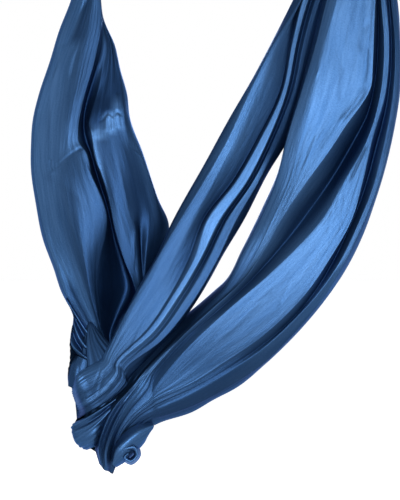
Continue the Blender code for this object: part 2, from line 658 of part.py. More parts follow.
class Arm:
    """The line down one half of the cloth, from its gather to the low knot's middle."""

    def __init__(self, x):
        self.start = Vector((x, 0.0, GATHER_Z))
        run = LOW_KNOT - self.start
        self.length = run.length
        self.way = run.normalized()
        self.across = Vector((-self.way.z, 0.0, self.way.x))

    def point(self, along, across, depth):
        flat = self.start + self.way * (along * self.length) + self.across * across
        return flat + Vector((0.0, depth, 0.0))

    def front(self, along, left, right, middle, folds):
        """The front of one section as (across, depth), from its right side through the folds to its left."""
        ridges = [spline(fold, along) for fold in folds]
        share, lift = ROUND_OVER
        first, last = ridges[0], ridges[-1]
        over_left = (left + (first[0] - left) * share, middle + (first[1] - middle) * lift)
        over_right = (right + (last[0] - right) * share, middle + (last[1] - middle) * lift)
        return [(right, middle), over_right, *reversed(ridges), over_left, (left, middle)]

    def solid(self, start, end, left_edge, right_edge, depths, neck=(), folds=()):
        """A solid of rounded sections between two edges, each a function of the place along the arm.

        The neck is a run of heights above the first section, where the cloth is a level round bundle.
        The folds shape the front, which is a plain crown without them.
        """
        shape = bmesh.new()
        count = max(3, round((end - start) * self.length / RING_STEP))
        rings = []
        for height in neck:
            outline = circle((self.start.x, self.start.y), GATHER_RADIUS, CLOTH_SIDES)
            rings.append([shape.verts.new((a, -b, height)) for a, b in outline])
        for i in range(count + 1):
            along = start + (end - start) * i / count
            left, right = left_edge(along), right_edge(along)
            middle, half = spline(depths, along)
            ring = []
            half_turn = 0
            if folds:
                half_turn = CLOTH_SIDES // 2 + 1
                for across, depth in self.front(along, left, right, middle, folds):
                    ring.append(shape.verts.new(self.point(along, across, depth)))
            for k in range(half_turn, CLOTH_SIDES):
                turn = 2.0 * math.pi * k / CLOTH_SIDES
                bulge_x = math.copysign(abs(math.cos(turn)) ** 0.85, math.cos(turn))
                bulge_y = math.copysign(abs(math.sin(turn)) ** 0.85, math.sin(turn))
                across = (left + right) / 2 + (right - left) / 2 * bulge_x
                ring.append(shape.verts.new(self.point(along, across, middle - half * bulge_y)))
            rings.append(ring)
        join_rings(shape, rings)
        return shape


def edge(table, shift=0.0):
    return lambda along: spline(table, along)[0] + shift


def keep_side(shape, point, normal):
    """Cuts a closed solid by a plane, keeps the side that the normal leaves, and closes the cut."""
    everything = list(shape.verts) + list(shape.edges) + list(shape.faces)
    cut = bmesh.ops.bisect_plane(shape, geom=everything, plane_co=point, plane_no=normal, dist=1e-6,
                                 clear_outer=True)
    rim = [e for e in cut["geom_cut"] if isinstance(e, bmesh.types.BMEdge) and e.is_boundary]
    bmesh.ops.holes_fill(shape, edges=rim, sides=0)


def knot_plane(first, second, keep_left, gap=CLOTH_GAP):
    """A plane seen edge-on from the front, through two points given from the knot's middle.

    Left is the left hand of someone who walks from the first point to the second, seen from the front.
    """
    a = LOW_KNOT + Vector((first[0], 0.0, first[1]))
    way = (Vector((second[0], 0.0, second[1])) - Vector((first[0], 0.0, first[1]))).normalized()
    left = Vector((-way.z, 0.0, way.x))
    outward = -left if keep_left else left
    return a - outward * gap / 2, outward


def entry_line():
    """The two ends of the slanted line on which the right arm's bands enter the low knot."""
    x, z = KNOT_ENTRY
    return (x, z), (x + math.cos(KNOT_ENTRY_SLOPE), z + math.sin(KNOT_ENTRY_SLOPE))


def knot_lump():
    """The low knot's whole form: its outline, rounded over to front and back."""
    shape = bmesh.new()
    corners = [Vector((a, 0.0, b)) for a, b in LOW_KNOT_OUTLINE]
    centre = sum(corners, Vector()) / len(corners)
    outline = smooth_loop(corners, KNOT_STEP)
    rings = []
    for j in range(1, KNOT_LAYERS):
        lift = -math.cos(math.pi * j / KNOT_LAYERS)
        shrink = (1.0 - abs(lift) ** KNOT_ROUNDNESS) ** (1.0 / KNOT_ROUNDNESS)
        middle = LOW_KNOT + centre + Vector((0.0, lift * LOW_KNOT_THICKNESS / 2, 0.0))
        rings.append([shape.verts.new(middle + (p - centre) * shrink) for p in outline])
    join_rings(shape, rings)
    return shape


def low_knot_piece(name, cloth, swing, planes):
    """One turn of the low knot: the lump, trimmed by the planes of its neighbours."""
    shape = knot_lump()
    for point, outward in planes:
        keep_side(shape, point, outward)
    return piece(name, shape, cloth, (LEFT_X, 0.0, EYE_AXIS_Z), swing)


def low_knot(cloth, swing, left_arm):
    front = (LOW_KNOT + Vector((0.0, LOW_KNOT_BACK - CLOTH_GAP / 2, 0.0)), Vector((0.0, 1.0, 0.0)))
    back = (LOW_KNOT + Vector((0.0, LOW_KNOT_BACK + CLOTH_GAP / 2, 0.0)), Vector((0.0, -1.0, 0.0)))
    collar = (left_arm.point(LEFT_COLLAR_END, 0.0, 0.0) + left_arm.way * CLOTH_GAP, -left_arm.way)
    entry = knot_plane(*entry_line(), keep_left=False)
    low_knot_piece("knot_back_turn", cloth, swing, [back, collar, entry])
    low_knot_piece("knot_ruffle", cloth, swing, [front, collar, knot_plane(*RUFFLE_CREASE, keep_left=False)])
    low_knot_piece("knot_front_wrap", cloth, swing, [
        front, collar, entry, knot_plane(*RUFFLE_CREASE, keep_left=True),
        knot_plane(*WRAP_CREASE, keep_left=True),
    ])
    low_knot_piece("knot_under_bulge", cloth, swing, [
        front, knot_plane(*WRAP_CREASE, keep_left=False), knot_plane(*BULGE_CREASE, keep_left=False),
    ])
    low_knot_piece("knot_outer_tuck", cloth, swing, [
        front, entry, knot_plane(*WRAP_CREASE, keep_left=False), knot_plane(*BULGE_CREASE, keep_left=True),
        knot_plane(*TUCK_CREASE, keep_left=False),
    ])
    low_knot_piece("knot_tail_pleats", cloth, swing, [
        front, knot_plane(*BULGE_CREASE, keep_left=True), knot_plane(*TUCK_CREASE, keep_left=True),
        knot_plane(*CURL_CREASE, keep_left=False),
    ])
    low_knot_piece("knot_right_curl", cloth, swing, [
        front, entry, knot_plane(*TUCK_CREASE, keep_left=True), knot_plane(*CURL_CREASE, keep_left=True),
    ])


def left_cloth(cloth, swing, arm):
    """The left half: rope-like under the knot, opening to a broad drape, then drawn into a collar."""
    gap = CLOTH_GAP / arm.length
    for name, first, last, neck, folds in (
        ("left_gather", 0.0, LEFT_GATHER_END - gap, neck_heights(), ()),
        ("left_drape", LEFT_GATHER_END, LEFT_DRAPE_END - gap, (), DRAPE_FOLDS),
        ("left_collar", LEFT_DRAPE_END, LEFT_COLLAR_END, (), ()),
    ):
        shape = arm.solid(first, last, edge(LEFT_OUTER_EDGE), edge(LEFT_INNER_EDGE), LEFT_DEPTH, neck, folds)
        piece(name, shape, cloth, (LEFT_X, 0.0, EYE_AXIS_Z), swing)


def neck_heights():
    """The round bundle runs from the stopper knot down through the rope's turns."""
    top = END_KNOT_LOW_Z - CLOTH_GAP
    low = GATHER_Z + NECK_ABOVE_FANNING
    return top, (top + low) / 2, low


def right_cloth(cloth, swing, arm):
    """The right half: a gather that fans out at once, then an inner and an outer band round a slit."""
    gap = CLOTH_GAP / arm.length
    inner, outer = edge(RIGHT_INNER_EDGE), edge(RIGHT_OUTER_EDGE)
    slit_inner, slit_outer = edge(SLIT_INNER_EDGE), edge(SLIT_OUTER_EDGE)
    gather = arm.solid(0.0, RIGHT_GATHER_END - gap, inner, outer, RIGHT_GATHER_DEPTH, neck_heights())
    piece("right_gather", gather, cloth, (LEFT_X, 0.0, EYE_AXIS_Z), swing)
    entry = knot_plane(*entry_line(), keep_left=True)

    def beside_inner(along):
        return max(slit_outer(along), slit_inner(along)) + BAND_GAP

    for name, first_edge, second_edge, depths, folds in (
        ("right_inner_band", inner, slit_inner, INNER_BAND_DEPTH, ()),
        ("right_outer_band", beside_inner, outer, OUTER_BAND_DEPTH, BAND_FOLDS),
    ):
        shape = arm.solid(RIGHT_GATHER_END, BAND_REACH, first_edge, second_edge, depths, (), folds)
        keep_side(shape, *entry)
        piece(name, shape, cloth, (LEFT_X, 0.0, EYE_AXIS_Z), swing)


def hardware(side, x, steel, rope, cloth, swing):
    """Everything from the ceiling plate down to the stopper knot on one side."""
    ceiling_plate(side, x, steel)
    eye_bow(side, x, steel)
    carabiner_body(side, x, steel, swing)
    gate_pin(side, x, steel, swing)
    turning_gate = gate(side, x, steel, swing)
    gate_plunger(side, x, steel, turning_gate)
    gate_spring(side, x, steel, turning_gate)
    lock_sleeve(side, x, steel, turning_gate)
    rope_sling(side, x, rope, swing)
    end_frill(side, x, cloth, swing)
    end_knot(side, x, cloth, swing)


def main():
    clear_scene()
    steel = material("bright_steel", (0.62, 0.63, 0.65), 0.28, 1.0)
    rope = material("black_rope", (0.022, 0.023, 0.026), 0.75, 0.0)
    cloth = material("blue_satin_nylon", (0.022, 0.074, 0.185), 0.42, 0.35)
    swing = axis_empty("swing_axis", (LEFT_X, 0.0, EYE_AXIS_Z))
    for side, x in (("left", LEFT_X), ("right", RIGHT_X)):
        hardware(side, x, steel, rope, cloth, swing)
    left_arm, right_arm = Arm(LEFT_X), Arm(RIGHT_X)
    left_cloth(cloth, swing, left_arm)
    right_cloth(cloth, swing, right_arm)
    low_knot(cloth, swing, left_arm)


main()
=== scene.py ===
"""Looks of the aerial yoga hammock: satin cloth in folds, a low knot, rope slings, steel and a plain studio.

Metres, +Z up. The origin is the middle of the left ceiling plate's upper face and the front faces -Y.
A fold of the cloth is written as marks seen from the front: how far right and down it lies in the
picture, in pixels, and its depth in millimetres, where a negative depth is nearer to the viewer.
"""

import logging
import math
from dataclasses import dataclass
from enum import Enum

import bpy
import numpy as np
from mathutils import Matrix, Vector


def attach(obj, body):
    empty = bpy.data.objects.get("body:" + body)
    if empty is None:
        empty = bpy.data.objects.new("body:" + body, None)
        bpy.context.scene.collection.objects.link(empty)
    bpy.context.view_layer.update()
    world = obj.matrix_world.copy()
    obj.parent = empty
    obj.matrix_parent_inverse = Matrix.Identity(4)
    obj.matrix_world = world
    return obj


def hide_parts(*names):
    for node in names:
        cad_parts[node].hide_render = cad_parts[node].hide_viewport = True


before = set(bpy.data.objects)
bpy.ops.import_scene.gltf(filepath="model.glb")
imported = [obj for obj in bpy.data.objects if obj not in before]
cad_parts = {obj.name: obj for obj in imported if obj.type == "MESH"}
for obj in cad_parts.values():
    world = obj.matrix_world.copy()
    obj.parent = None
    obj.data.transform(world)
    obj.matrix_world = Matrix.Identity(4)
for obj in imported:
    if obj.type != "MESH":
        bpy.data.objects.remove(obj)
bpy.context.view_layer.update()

log = logging.getLogger("hammock")

Mark = tuple[float, float, float]

# Places that the cloth shares with the solid model.
LEFT_X = 0.0
RIGHT_X = 0.610
LOW_BOW_Z = -0.1212
FRILL_TOP_Z = -0.1334
FRILL_LOW_Z = -0.1486
END_KNOT_TOP_Z = -0.1492
END_KNOT_LOW_Z = -0.2112
END_KNOT_RADIUS = 0.030
CHOKE_Z = -0.2227
GATHER_Z = -0.2467
GATHER_RADIUS = 0.0195
LOW_KNOT = np.array((0.046, 0.0, -1.404))

# How the cloth is drawn and shaded.
UNDER_KNOT = 0.0012  # how far under the stopper knot the gathered cloth begins
LOW_PLEATS = 0.15  # the fine pleats' depth at the low knot, as a share of their depth at the rope
KNOT_PLEATS = 0.4  # the depth of the knot's pleats, as a share of what each turn states
FINE_EDGE = 0.01  # how softly a stretch of finer rows begins and ends, as a share of the arm
USUAL_WIDTH = 0.8  # columns are counted at the width that this share of a fold's rows stays under
CREASE_ENDS = 0.2  # the share of a crease, at each end, over which it fades
# The next constants shape the painted shade in the cloth's folds.
PAINTED_SHADE_CURVE = 1.6  # how fast a packed fold grows dark
NARROW_FOLD = (8, 0.0032)  # columns to each side that are compared, and the depth that is fully hollow
BROAD_FOLD = (22, 0.0095)
KNOT_STARTS = (0.95, 1.03)  # where a hanging cloth goes over into the knot, as a share of its length
# The knot's folds get a weaker painted shade than the hanging cloths.
KNOT_SHADE = 0.55  # how much the folds of the knot darken it, beside those of the hanging cloths


class Side(Enum):
    """Which end of the hammock a piece belongs to."""

    LEFT = "left"
    RIGHT = "right"

    @property
    def x(self) -> float:
        """Where that end hangs."""
        return LEFT_X if self is Side.LEFT else RIGHT_X


class Held(Enum):
    """How a piece of cloth is held."""

    HUNG = "hung"
    GATHERED = "gathered"


@dataclass(frozen=True)
class Sight:
    """The camera's place, and how a pixel of its picture becomes a place in the hammock."""

    eye: tuple[float, float, float] = (0.2486, -3.0, -1.0742)
    pixel: float = 0.0022
    middle: tuple[float, float] = (200.0, 250.0)
    lens: float = 98.2

    def place(self, mark: Mark) -> np.ndarray:
        """Turns a mark into metres.

        Args:
            mark: Pixels right, pixels down and the depth in millimetres.

        Returns:
            The point in the hammock's frame.
        """
        depth = mark[2] / 1000.0
        spread = (depth - self.eye[1]) / -self.eye[1]
        x = self.eye[0] + (mark[0] - self.middle[0]) * self.pixel * spread
        z = self.eye[2] - (mark[1] - self.middle[1]) * self.pixel * spread
        return np.array((x, depth, z))

    def picture(self, points: np.ndarray) -> np.ndarray:
        """Turns points in metres into pixels right and down, as an array whose last axis has two values."""
        spread = (points[..., 1] - self.eye[1]) / -self.eye[1] * self.pixel
        right = self.middle[0] + (points[..., 0] - self.eye[0]) / spread
        down = self.middle[1] - (points[..., 2] - self.eye[2]) / spread
        return np.stack((right, down), axis=-1)


SIGHT = Sight()


def smooth_through(places: np.ndarray, values: np.ndarray, at: np.ndarray) -> np.ndarray:
    """Reads a smooth curve through given values.

    Args:
        places: Rising places of the values, one each.
        values: The values, as rows.
        at: The places to read.

    Returns:
        One row of values for each place read.
    """
    gaps = np.diff(places)[:, None]
    steps = np.diff(values, axis=0) / gaps
    slopes = np.empty_like(values)
    slopes[0], slopes[-1] = steps[0], steps[-1]
    slopes[1:-1] = (steps[:-1] * gaps[1:] + steps[1:] * gaps[:-1]) / (gaps[1:] + gaps[:-1])
    cell = np.clip(np.searchsorted(places, at, side="right") - 1, 0, len(places) - 2)
    span = gaps[cell]
    t = ((at - places[cell])[:, None]) / span
    return (
        values[cell] * (2 * t**3 - 3 * t**2 + 1)
        + slopes[cell] * span * (t**3 - 2 * t**2 + t)
        + values[cell + 1] * (3 * t**2 - 2 * t**3)
        + slopes[cell + 1] * span * (t**3 - t**2)
    )


def smooth_across(folds: np.ndarray, counts: list[int], round_over: np.ndarray | None = None) -> np.ndarray:
    """Draws each row of the cloth as a smooth line through its folds.

    Args:
        folds: Fold points, as rows by folds by three.
        counts: How many points to draw from each fold to the next.
        round_over: How widely each fold turns, from near 0 for a crease to 1 for a soft roll.

    Returns:
        The cloth's points, as rows by columns by three.
    """
    spans = np.sqrt(np.maximum(np.linalg.norm(np.diff(folds, axis=1), axis=2), 1e-5))[:, :, None]
    steps = np.diff(folds, axis=1) / spans
    slopes = np.empty_like(folds)
    slopes[:, 0], slopes[:, -1] = steps[:, 0], steps[:, -1]
    before, after = spans[:, :-1], spans[:, 1:]
    slopes[:, 1:-1] = (steps[:, :-1] * after + steps[:, 1:] * before) / (before + after)
    if round_over is not None:
        slopes *= round_over[None, :, None]
    drawn = []
    for i, count in enumerate(counts):
        for k in range(count):
            t = k / count
            drawn.append(
                folds[:, i] * (2 * t**3 - 3 * t**2 + 1)
                + slopes[:, i] * spans[:, i] * (t**3 - 2 * t**2 + t)
                + folds[:, i + 1] * (3 * t**2 - 2 * t**3)
                + slopes[:, i + 1] * spans[:, i] * (t**3 - t**2)
            )
    drawn.append(folds[:, -1])
    return np.stack(drawn, axis=1)


def soften(grid: np.ndarray, times: int, axis: int) -> np.ndarray:
    """Rounds a grid of points a little along one of its two ways, and leaves its ends in place."""
    for _ in range(times):
        moved = np.swapaxes(grid, 0, axis).copy()
        moved[1:-1] = moved[1:-1] * 0.5 + (moved[:-2] + moved[2:]) * 0.25
        grid = np.swapaxes(moved, 0, axis)
    return grid


def facing(grid: np.ndarray) -> np.ndarray:
    """The direction in which each point of a grid faces, as unit vectors."""
    along = np.gradient(grid, axis=0)
    across = np.gradient(grid, axis=1)
    normal = np.cross(across, along)
    return normal / np.maximum(np.linalg.norm(normal, axis=2, keepdims=True), 1e-12)


@dataclass(frozen=True)
class Fold:
    """A ridge, valley or edge that runs down the cloth.

    Its painted shade is written as stations down the arm with a level from 0 to 1, deepest where the fold is
    packed deep.
    """

    name: str
    turn: float
    marks: tuple[Mark, ...]
    wrap: tuple[Mark, ...] = ()
    soft: float = 1.0
    # Painted shade down the fold, none unless given.
    dark: tuple[tuple[float, float], ...] = ((0.0, 0.0),)


@dataclass(frozen=True)
class HiddenFold:
    """A fold behind the front: how far it lies from the left edge to the right one, and how far back."""

    name: str
    turn: float
    share: float
    level: float
    inset: float = 1.0
    soft: float = 1.0
    # Painted shade of a hidden fold, half strength unless given.
    dark: tuple[tuple[float, float], ...] = ((0.0, 0.5),)


@dataclass(frozen=True)
class Pleats:
    """Fine pleats that run with the folds, deep at the gathers and shallow between."""

    seed: int
    count: float
    depth: float
    top: float
    low: float
    rest: float
    runs: int = 4
    drift: float = 0.6
    sway: float = 0.25
    roundness: float = 0.8
    weaker: float = 0.4
    tied: tuple[float, float] = (0.03, 0.35)


@dataclass(frozen=True)
class Crease:
    """A small crease across the cloth.

    Its line is written in pixels right and down, its height in millimetres towards the viewer, and its
    reach in pixels to the left and to the right of someone who walks along it.
    """

    line: tuple[tuple[float, float], ...]
    height: float
    left: float = 1.6
    right: float = 1.6

    def lift(self, seen: np.ndarray) -> np.ndarray:
        """How far the crease lifts each point.

        Args:
            seen: The points' places in pixels, as rows of two values.

        Returns:
            The lift in metres, one value for each point.
        """
        marks = np.array(self.line, float)
        gone = np.concatenate(([0.0], np.cumsum(np.linalg.norm(np.diff(marks, axis=0), axis=1))))
        nearest = np.full(len(seen), np.inf)
        side = np.zeros(len(seen))
        place = np.zeros(len(seen))
        for i, (first, second) in enumerate(zip(marks, marks[1:])):
            run = second - first
            length = float(np.linalg.norm(run))
            share = np.clip(((seen - first) @ run) / length**2, 0.0, 1.0)
            away = seen - (first + share[:, None] * run)
            distance = np.linalg.norm(away, axis=1)
            closer = distance < nearest
            nearest = np.where(closer, distance, nearest)
            side = np.where(closer, away @ np.array((run[1], -run[0])) / length, side)
            place = np.where(closer, (gone[i] + share * length) / gone[-1], place)
        reach = np.where(side > 0, self.left, self.right)
        ends = np.clip(np.minimum(place, 1.0 - place) / CREASE_ENDS, 0.0, 1.0)
        ends = ends * ends * (3 - 2 * ends)
        return np.exp(-((nearest / reach) ** 2)) * ends * self.height / 1000.0


@dataclass
class HungCloth:
    """One hanging length of the cloth, from its gather at a rope sling down to the low knot.

    Its fine rows are written as the stations between which they lie, and how many times closer they are.
    """

    name: str
    x: float
    folds: tuple[Fold | HiddenFold, ...]
    depths: tuple[tuple[float, float, float], ...]
    flat: tuple[float, float]
    pleats: Pleats
    end: float
    rests_on: tuple[str, ...]
    stands_for: tuple[str, ...]
    wrap_stations: tuple[float, ...] = ()
    creases: tuple[Crease, ...] = ()
    fine: tuple[float, float, float] = (0.0, 1.0, 1.0)
    rows: int = 300
    column: float = 0.0026
    hidden_column: float = 0.014
    neck: tuple[float, ...] = (-0.030, -0.022, -0.012, 0.0)
    fan_out: float = 0.10

    def __post_init__(self) -> None:
        """Works out the line from the gather to the low knot."""
        self.start = np.array((self.x, 0.0, GATHER_Z))
        run = LOW_KNOT - self.start
        self.length = float(np.linalg.norm(run))
        self.way = run / self.length
        self.across = np.array((-self.way[2], 0.0, self.way[0]))

    def along(self, point: np.ndarray) -> float:
        """How far down the arm a point lies, from 0 at the gather to 1 at the low knot."""
        return float((point - self.start) @ self.way / self.length)

    def gathered(self, turn: float, inset: float = 1.0) -> list[tuple[float, np.ndarray]]:
        """The start of a fold, in the round bundle that the rope chokes.

        Args:
            turn: The fold's place round the bundle in degrees, 180 at the left and 90 in front.
            inset: How far out it lies, as a share of the bundle's radius.

        Returns:
            Stations and points from the stopper knot down to where the cloth fans out.
        """
        angle = math.radians(turn)
        begun = []
        for station in self.neck:
            radius = GATHER_RADIUS * inset
            height = min(GATHER_Z - station * self.length, END_KNOT_LOW_Z - UNDER_KNOT)
            begun.append((station, np.array((
                self.x + radius * math.cos(angle), -radius * math.sin(angle), height,
            ))))
        return begun

    def seen(self, fold: Fold, stations: np.ndarray) -> np.ndarray:
        """Follows a fold that is written in marks.

        Args:
            fold: The fold.
            stations: The rows' stations down the arm.

        Returns:
            The fold's point on each row.
        """
        points = self.gathered(fold.turn)
        for mark in fold.marks:
            place = SIGHT.place(mark)
            points.append((self.along(place), place))
        for station, mark in zip(self.wrap_stations, fold.wrap):
            points.append((station, SIGHT.place(mark)))
        points.sort(key=lambda p: p[0])
        places = np.array([p[0] for p in points])
        values = np.array([p[1] for p in points])
        return smooth_through(places, values, np.minimum(stations, places[-1]))

    def hidden(
        self, fold: HiddenFold, stations: np.ndarray, left: np.ndarray, right: np.ndarray
    ) -> np.ndarray:
        """Places a fold behind the front, between the two edges.

        Args:
            fold: The hidden fold.
            stations: The rows' stations down the arm.
            left: The left edge's points.
            right: The right edge's points.

        Returns:
            The fold's point on each row.
        """
        table = np.array(self.depths)
        depth = smooth_through(table[:, 0], table[:, 1:], np.clip(stations, table[0, 0], table[-1, 0]))
        points = left + (right - left) * fold.share
        points[:, 1] = depth[:, 0] + depth[:, 1] * fold.level
        top = self.gathered(fold.turn, fold.inset)
        circle = np.array([p[1] for p in top])
        near = smooth_through(np.array([p[0] for p in top]), circle, np.minimum(stations, top[-1][0]))
        fade = np.clip(stations / self.fan_out, 0.0, 1.0)[:, None]
        fade = fade * fade * (3 - 2 * fade)
        slide = (stations * self.length)[:, None] * self.way * (stations > 0)[:, None]
        return (near + slide) * (1 - fade) + points * fade

    def grid(self) -> tuple[np.ndarray, np.ndarray, np.ndarray, np.ndarray]:
        """Draws the cloth.

        Returns:
            Its points, their stations down the arm, each column's share of the width, each point's painted
            shade from its folds.
        """
        even = np.linspace(self.neck[0], self.end, self.rows)
        low, high, times = self.fine
        before, after = np.exp((low - even) / FINE_EDGE), np.exp((even - high) / FINE_EDGE)
        weight = 1.0 + (times - 1.0) / (1.0 + before + after)
        gone = np.concatenate(([0.0], np.cumsum((weight[1:] + weight[:-1]) / 2)))
        stations = np.interp(np.linspace(0.0, gone[-1], self.rows), gone, even)
        seen = [self.seen(f, stations) if isinstance(f, Fold) else None for f in self.folds]
        edges = [line for line in seen if line is not None]
        left, right = edges[0], edges[-1]
        lines = [
            line if line is not None else self.hidden(fold, stations, left, right)
            for line, fold in zip(seen, self.folds)
        ]
        folds = np.stack(lines, axis=1)
        counts = []
        for i, (first, second) in enumerate(zip(self.folds, self.folds[1:])):
            step = self.column if isinstance(first, Fold) or isinstance(second, Fold) else self.hidden_column
            widths = np.linalg.norm(folds[:, i + 1] - folds[:, i], axis=1)
            counts.append(max(2, round(float(np.quantile(widths, USUAL_WIDTH)) / step)))
        points = smooth_across(folds, counts, np.array([fold.soft for fold in self.folds]))
        front = [i for i, fold in enumerate(self.folds) if isinstance(fold, Fold)]
        self.front = slice(sum(counts[:front[0]]), sum(counts[:front[-1]]) + 1)
        shares = np.arange(points.shape[1]) / (points.shape[1] - 1)
        # Each fold's painted shade, blended across the columns between folds.
        levels = [np.interp(stations, *zip(*fold.dark)) for fold in self.folds]
        dark = []
        for first, second, count in zip(levels, levels[1:], counts):
            dark += [first + (second - first) * (k / count) for k in range(count)]
        dark.append(levels[-1])
        return points, stations, shares, 1.0 - (1.0 - np.stack(dark, axis=1)) ** PAINTED_SHADE_CURVE

    def pleated(self, points: np.ndarray, stations: np.ndarray, shares: np.ndarray) -> np.ndarray:
        """Adds the fine pleats.

        Args:
            points: The cloth's points.
            stations: The rows' stations down the arm.
            shares: The columns' shares of the width.

        Returns:
            The pleated points.
        """
        draw = np.random.default_rng(self.pleats.seed)
        s, v = np.meshgrid(shares, stations)
        total = np.zeros_like(s)
        for run in range(self.pleats.runs):
            count = self.pleats.count * draw.uniform(0.6, 1.5)
            drift = draw.uniform(-self.pleats.drift, self.pleats.drift) * v
            sway = self.pleats.sway * np.sin(2 * math.pi * (v * draw.uniform(0.7, 1.6) + draw.uniform()))
            wave = np.sin(2 * math.pi * (count * s + drift + sway + draw.uniform()))
            place = s * draw.uniform(2, 5) + v * draw.uniform(-1.5, 1.5)
            swell = 0.5 + 0.5 * np.sin(2 * math.pi * (place + draw.uniform()))
            wave = np.sign(wave) * np.abs(wave) ** self.pleats.roundness
            total += wave * swell / (1.0 + self.pleats.weaker * run)
        at_top = np.exp(-((np.maximum(v, 0.0) / self.pleats.top) ** 2))
        at_low = np.exp(-(((np.minimum(v, 1.0) - 1.0) / self.pleats.low) ** 2))
        depth = self.pleats.depth * np.clip(at_top + at_low * LOW_PLEATS, 0.0, 1.0) + self.pleats.rest
        reach, least = self.pleats.tied
        bound = np.clip((v - self.neck[0]) / reach, least, 1.0)
        return points + facing(points) * (total * depth * bound)[:, :, None]

    def creased(self, points: np.ndarray) -> np.ndarray:
        """Adds the small creases to the front of the cloth."""
        moved = points.copy()
        front = moved[:, self.front]
        seen = SIGHT.picture(front)
        for crease in self.creases:
            marks = np.array(crease.line)
            near = 3 * max(crease.left, crease.right)
            inside = np.all((seen > marks.min(axis=0) - near) & (seen < marks.max(axis=0) + near), axis=2)
            front[..., 1][inside] -= crease.lift(seen[inside])
        return moved

    def build(self, finish: bpy.types.Material) -> bpy.types.Object:
        """Args:
            finish: Its material.

        Returns:
            The finished piece.
        """
        points, stations, shares, dark = self.grid()
        points = self.pleated(points, stations, shares)
        points = self.creased(soften(points, 1, 0))
        # The painted shade from fold depth is weaker where the cloth goes into the knot.
        shade = np.interp(stations, KNOT_STARTS, (1.0, KNOT_SHADE))[:, None]
        made = cloth_piece(self.name, points, finish, dark, shade)
        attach(made, "hammock")
        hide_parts(*self.stands_for)
        return made


def hollow_within(points: np.ndarray, reach: int, full: float) -> np.ndarray:
    """Tells how far each point lies below its neighbours, from 0 on a ridge to 1 at a full depth.

    Args:
        points: Rows by columns by three.
        reach: How many columns to each side count as its neighbours.
        full: The depth in metres that counts as 1.

    Returns:
        One value for each point.
    """
    padded = np.concatenate([points[:, :1]] * reach + [points] + [points[:, -1:]] * reach, axis=1)
    totals = np.cumsum(padded, axis=1)
    earlier = np.concatenate((np.zeros_like(totals[:, :1]), totals[:, :-2 * reach - 1]), axis=1)
    around = (totals[:, 2 * reach:] - earlier) / (2 * reach + 1)
    outward = facing(points)
    from_middle = points - points.mean(axis=1, keepdims=True)
    if (from_middle * outward).sum() < 0.0:
        outward = -outward
    height = ((around - points) * outward).sum(axis=2)
    return np.clip(height / full, 0.0, 1.0)


def hollows(points: np.ndarray) -> np.ndarray:
    """Tells how deep in a fold each point lies, in a narrow fold or a broad one, from 0 to 1, as the measure
    for the cloth's painted shade.
    """
    narrow = hollow_within(points, *NARROW_FOLD)
    broad = hollow_within(points, *BROAD_FOLD)
    return 1.0 - (1.0 - narrow) * (1.0 - broad)


def cloth_piece(name: str, points: np.ndarray, finish: bpy.types.Material,
                dark: np.ndarray | float = 0.0, shade: np.ndarray | float = 1.0) -> bpy.types.Object:
    """Makes a grid of points into a smooth sheet with a UV map in metres, and stores each point's painted
    shade.

    Args:
        name: The piece's name.
        points: Rows by columns by three.
        finish: Its material.
        dark: The least painted shade of each point, from 0 to 1.
        shade: How much painted shade the depth of the folds gives each point, from 0 to 1.

    Returns:
        The new object.
    """
    rows, columns = points.shape[:2]
    index = np.arange(rows * columns).reshape(rows, columns)
    quads = np.stack((index[:-1, :-1], index[1:, :-1], index[1:, 1:], index[:-1, 1:]), axis=2).reshape(-1, 4)
    mesh = bpy.data.meshes.new(name)
    mesh.from_pydata(points.reshape(-1, 3).tolist(), [], quads.tolist())
    across = np.linalg.norm(np.diff(points, axis=1), axis=2).mean(axis=0)
    down = np.linalg.norm(np.diff(points, axis=0), axis=2).mean(axis=1)
    u = np.concatenate(([0.0], np.cumsum(across)))
    v = np.concatenate(([0.0], np.cumsum(down)))
    grid_uv = np.stack(np.meshgrid(u, v), axis=2).reshape(-1, 2)
    layer = mesh.uv_layers.new(name="cloth")
    layer.data.foreach_set("uv", grid_uv[quads.reshape(-1)].astype(np.float32).reshape(-1))
    # Painted shade: deep folds and the folds' given darkness darken the colour.
    painted_shade = mesh.attributes.new("painted_shade", "FLOAT", "POINT")
    painted_shade.data.foreach_set("value", np.maximum(hollows(points) * shade, dark).astype(np.float32).reshape(-1))
    mesh.polygons.foreach_set("use_smooth", np.ones(len(mesh.polygons), bool))
    mesh.materials.append(finish)
    mesh.update()
    made = bpy.data.objects.new(name, mesh)
    bpy.context.scene.collection.objects.link(made)
    return made


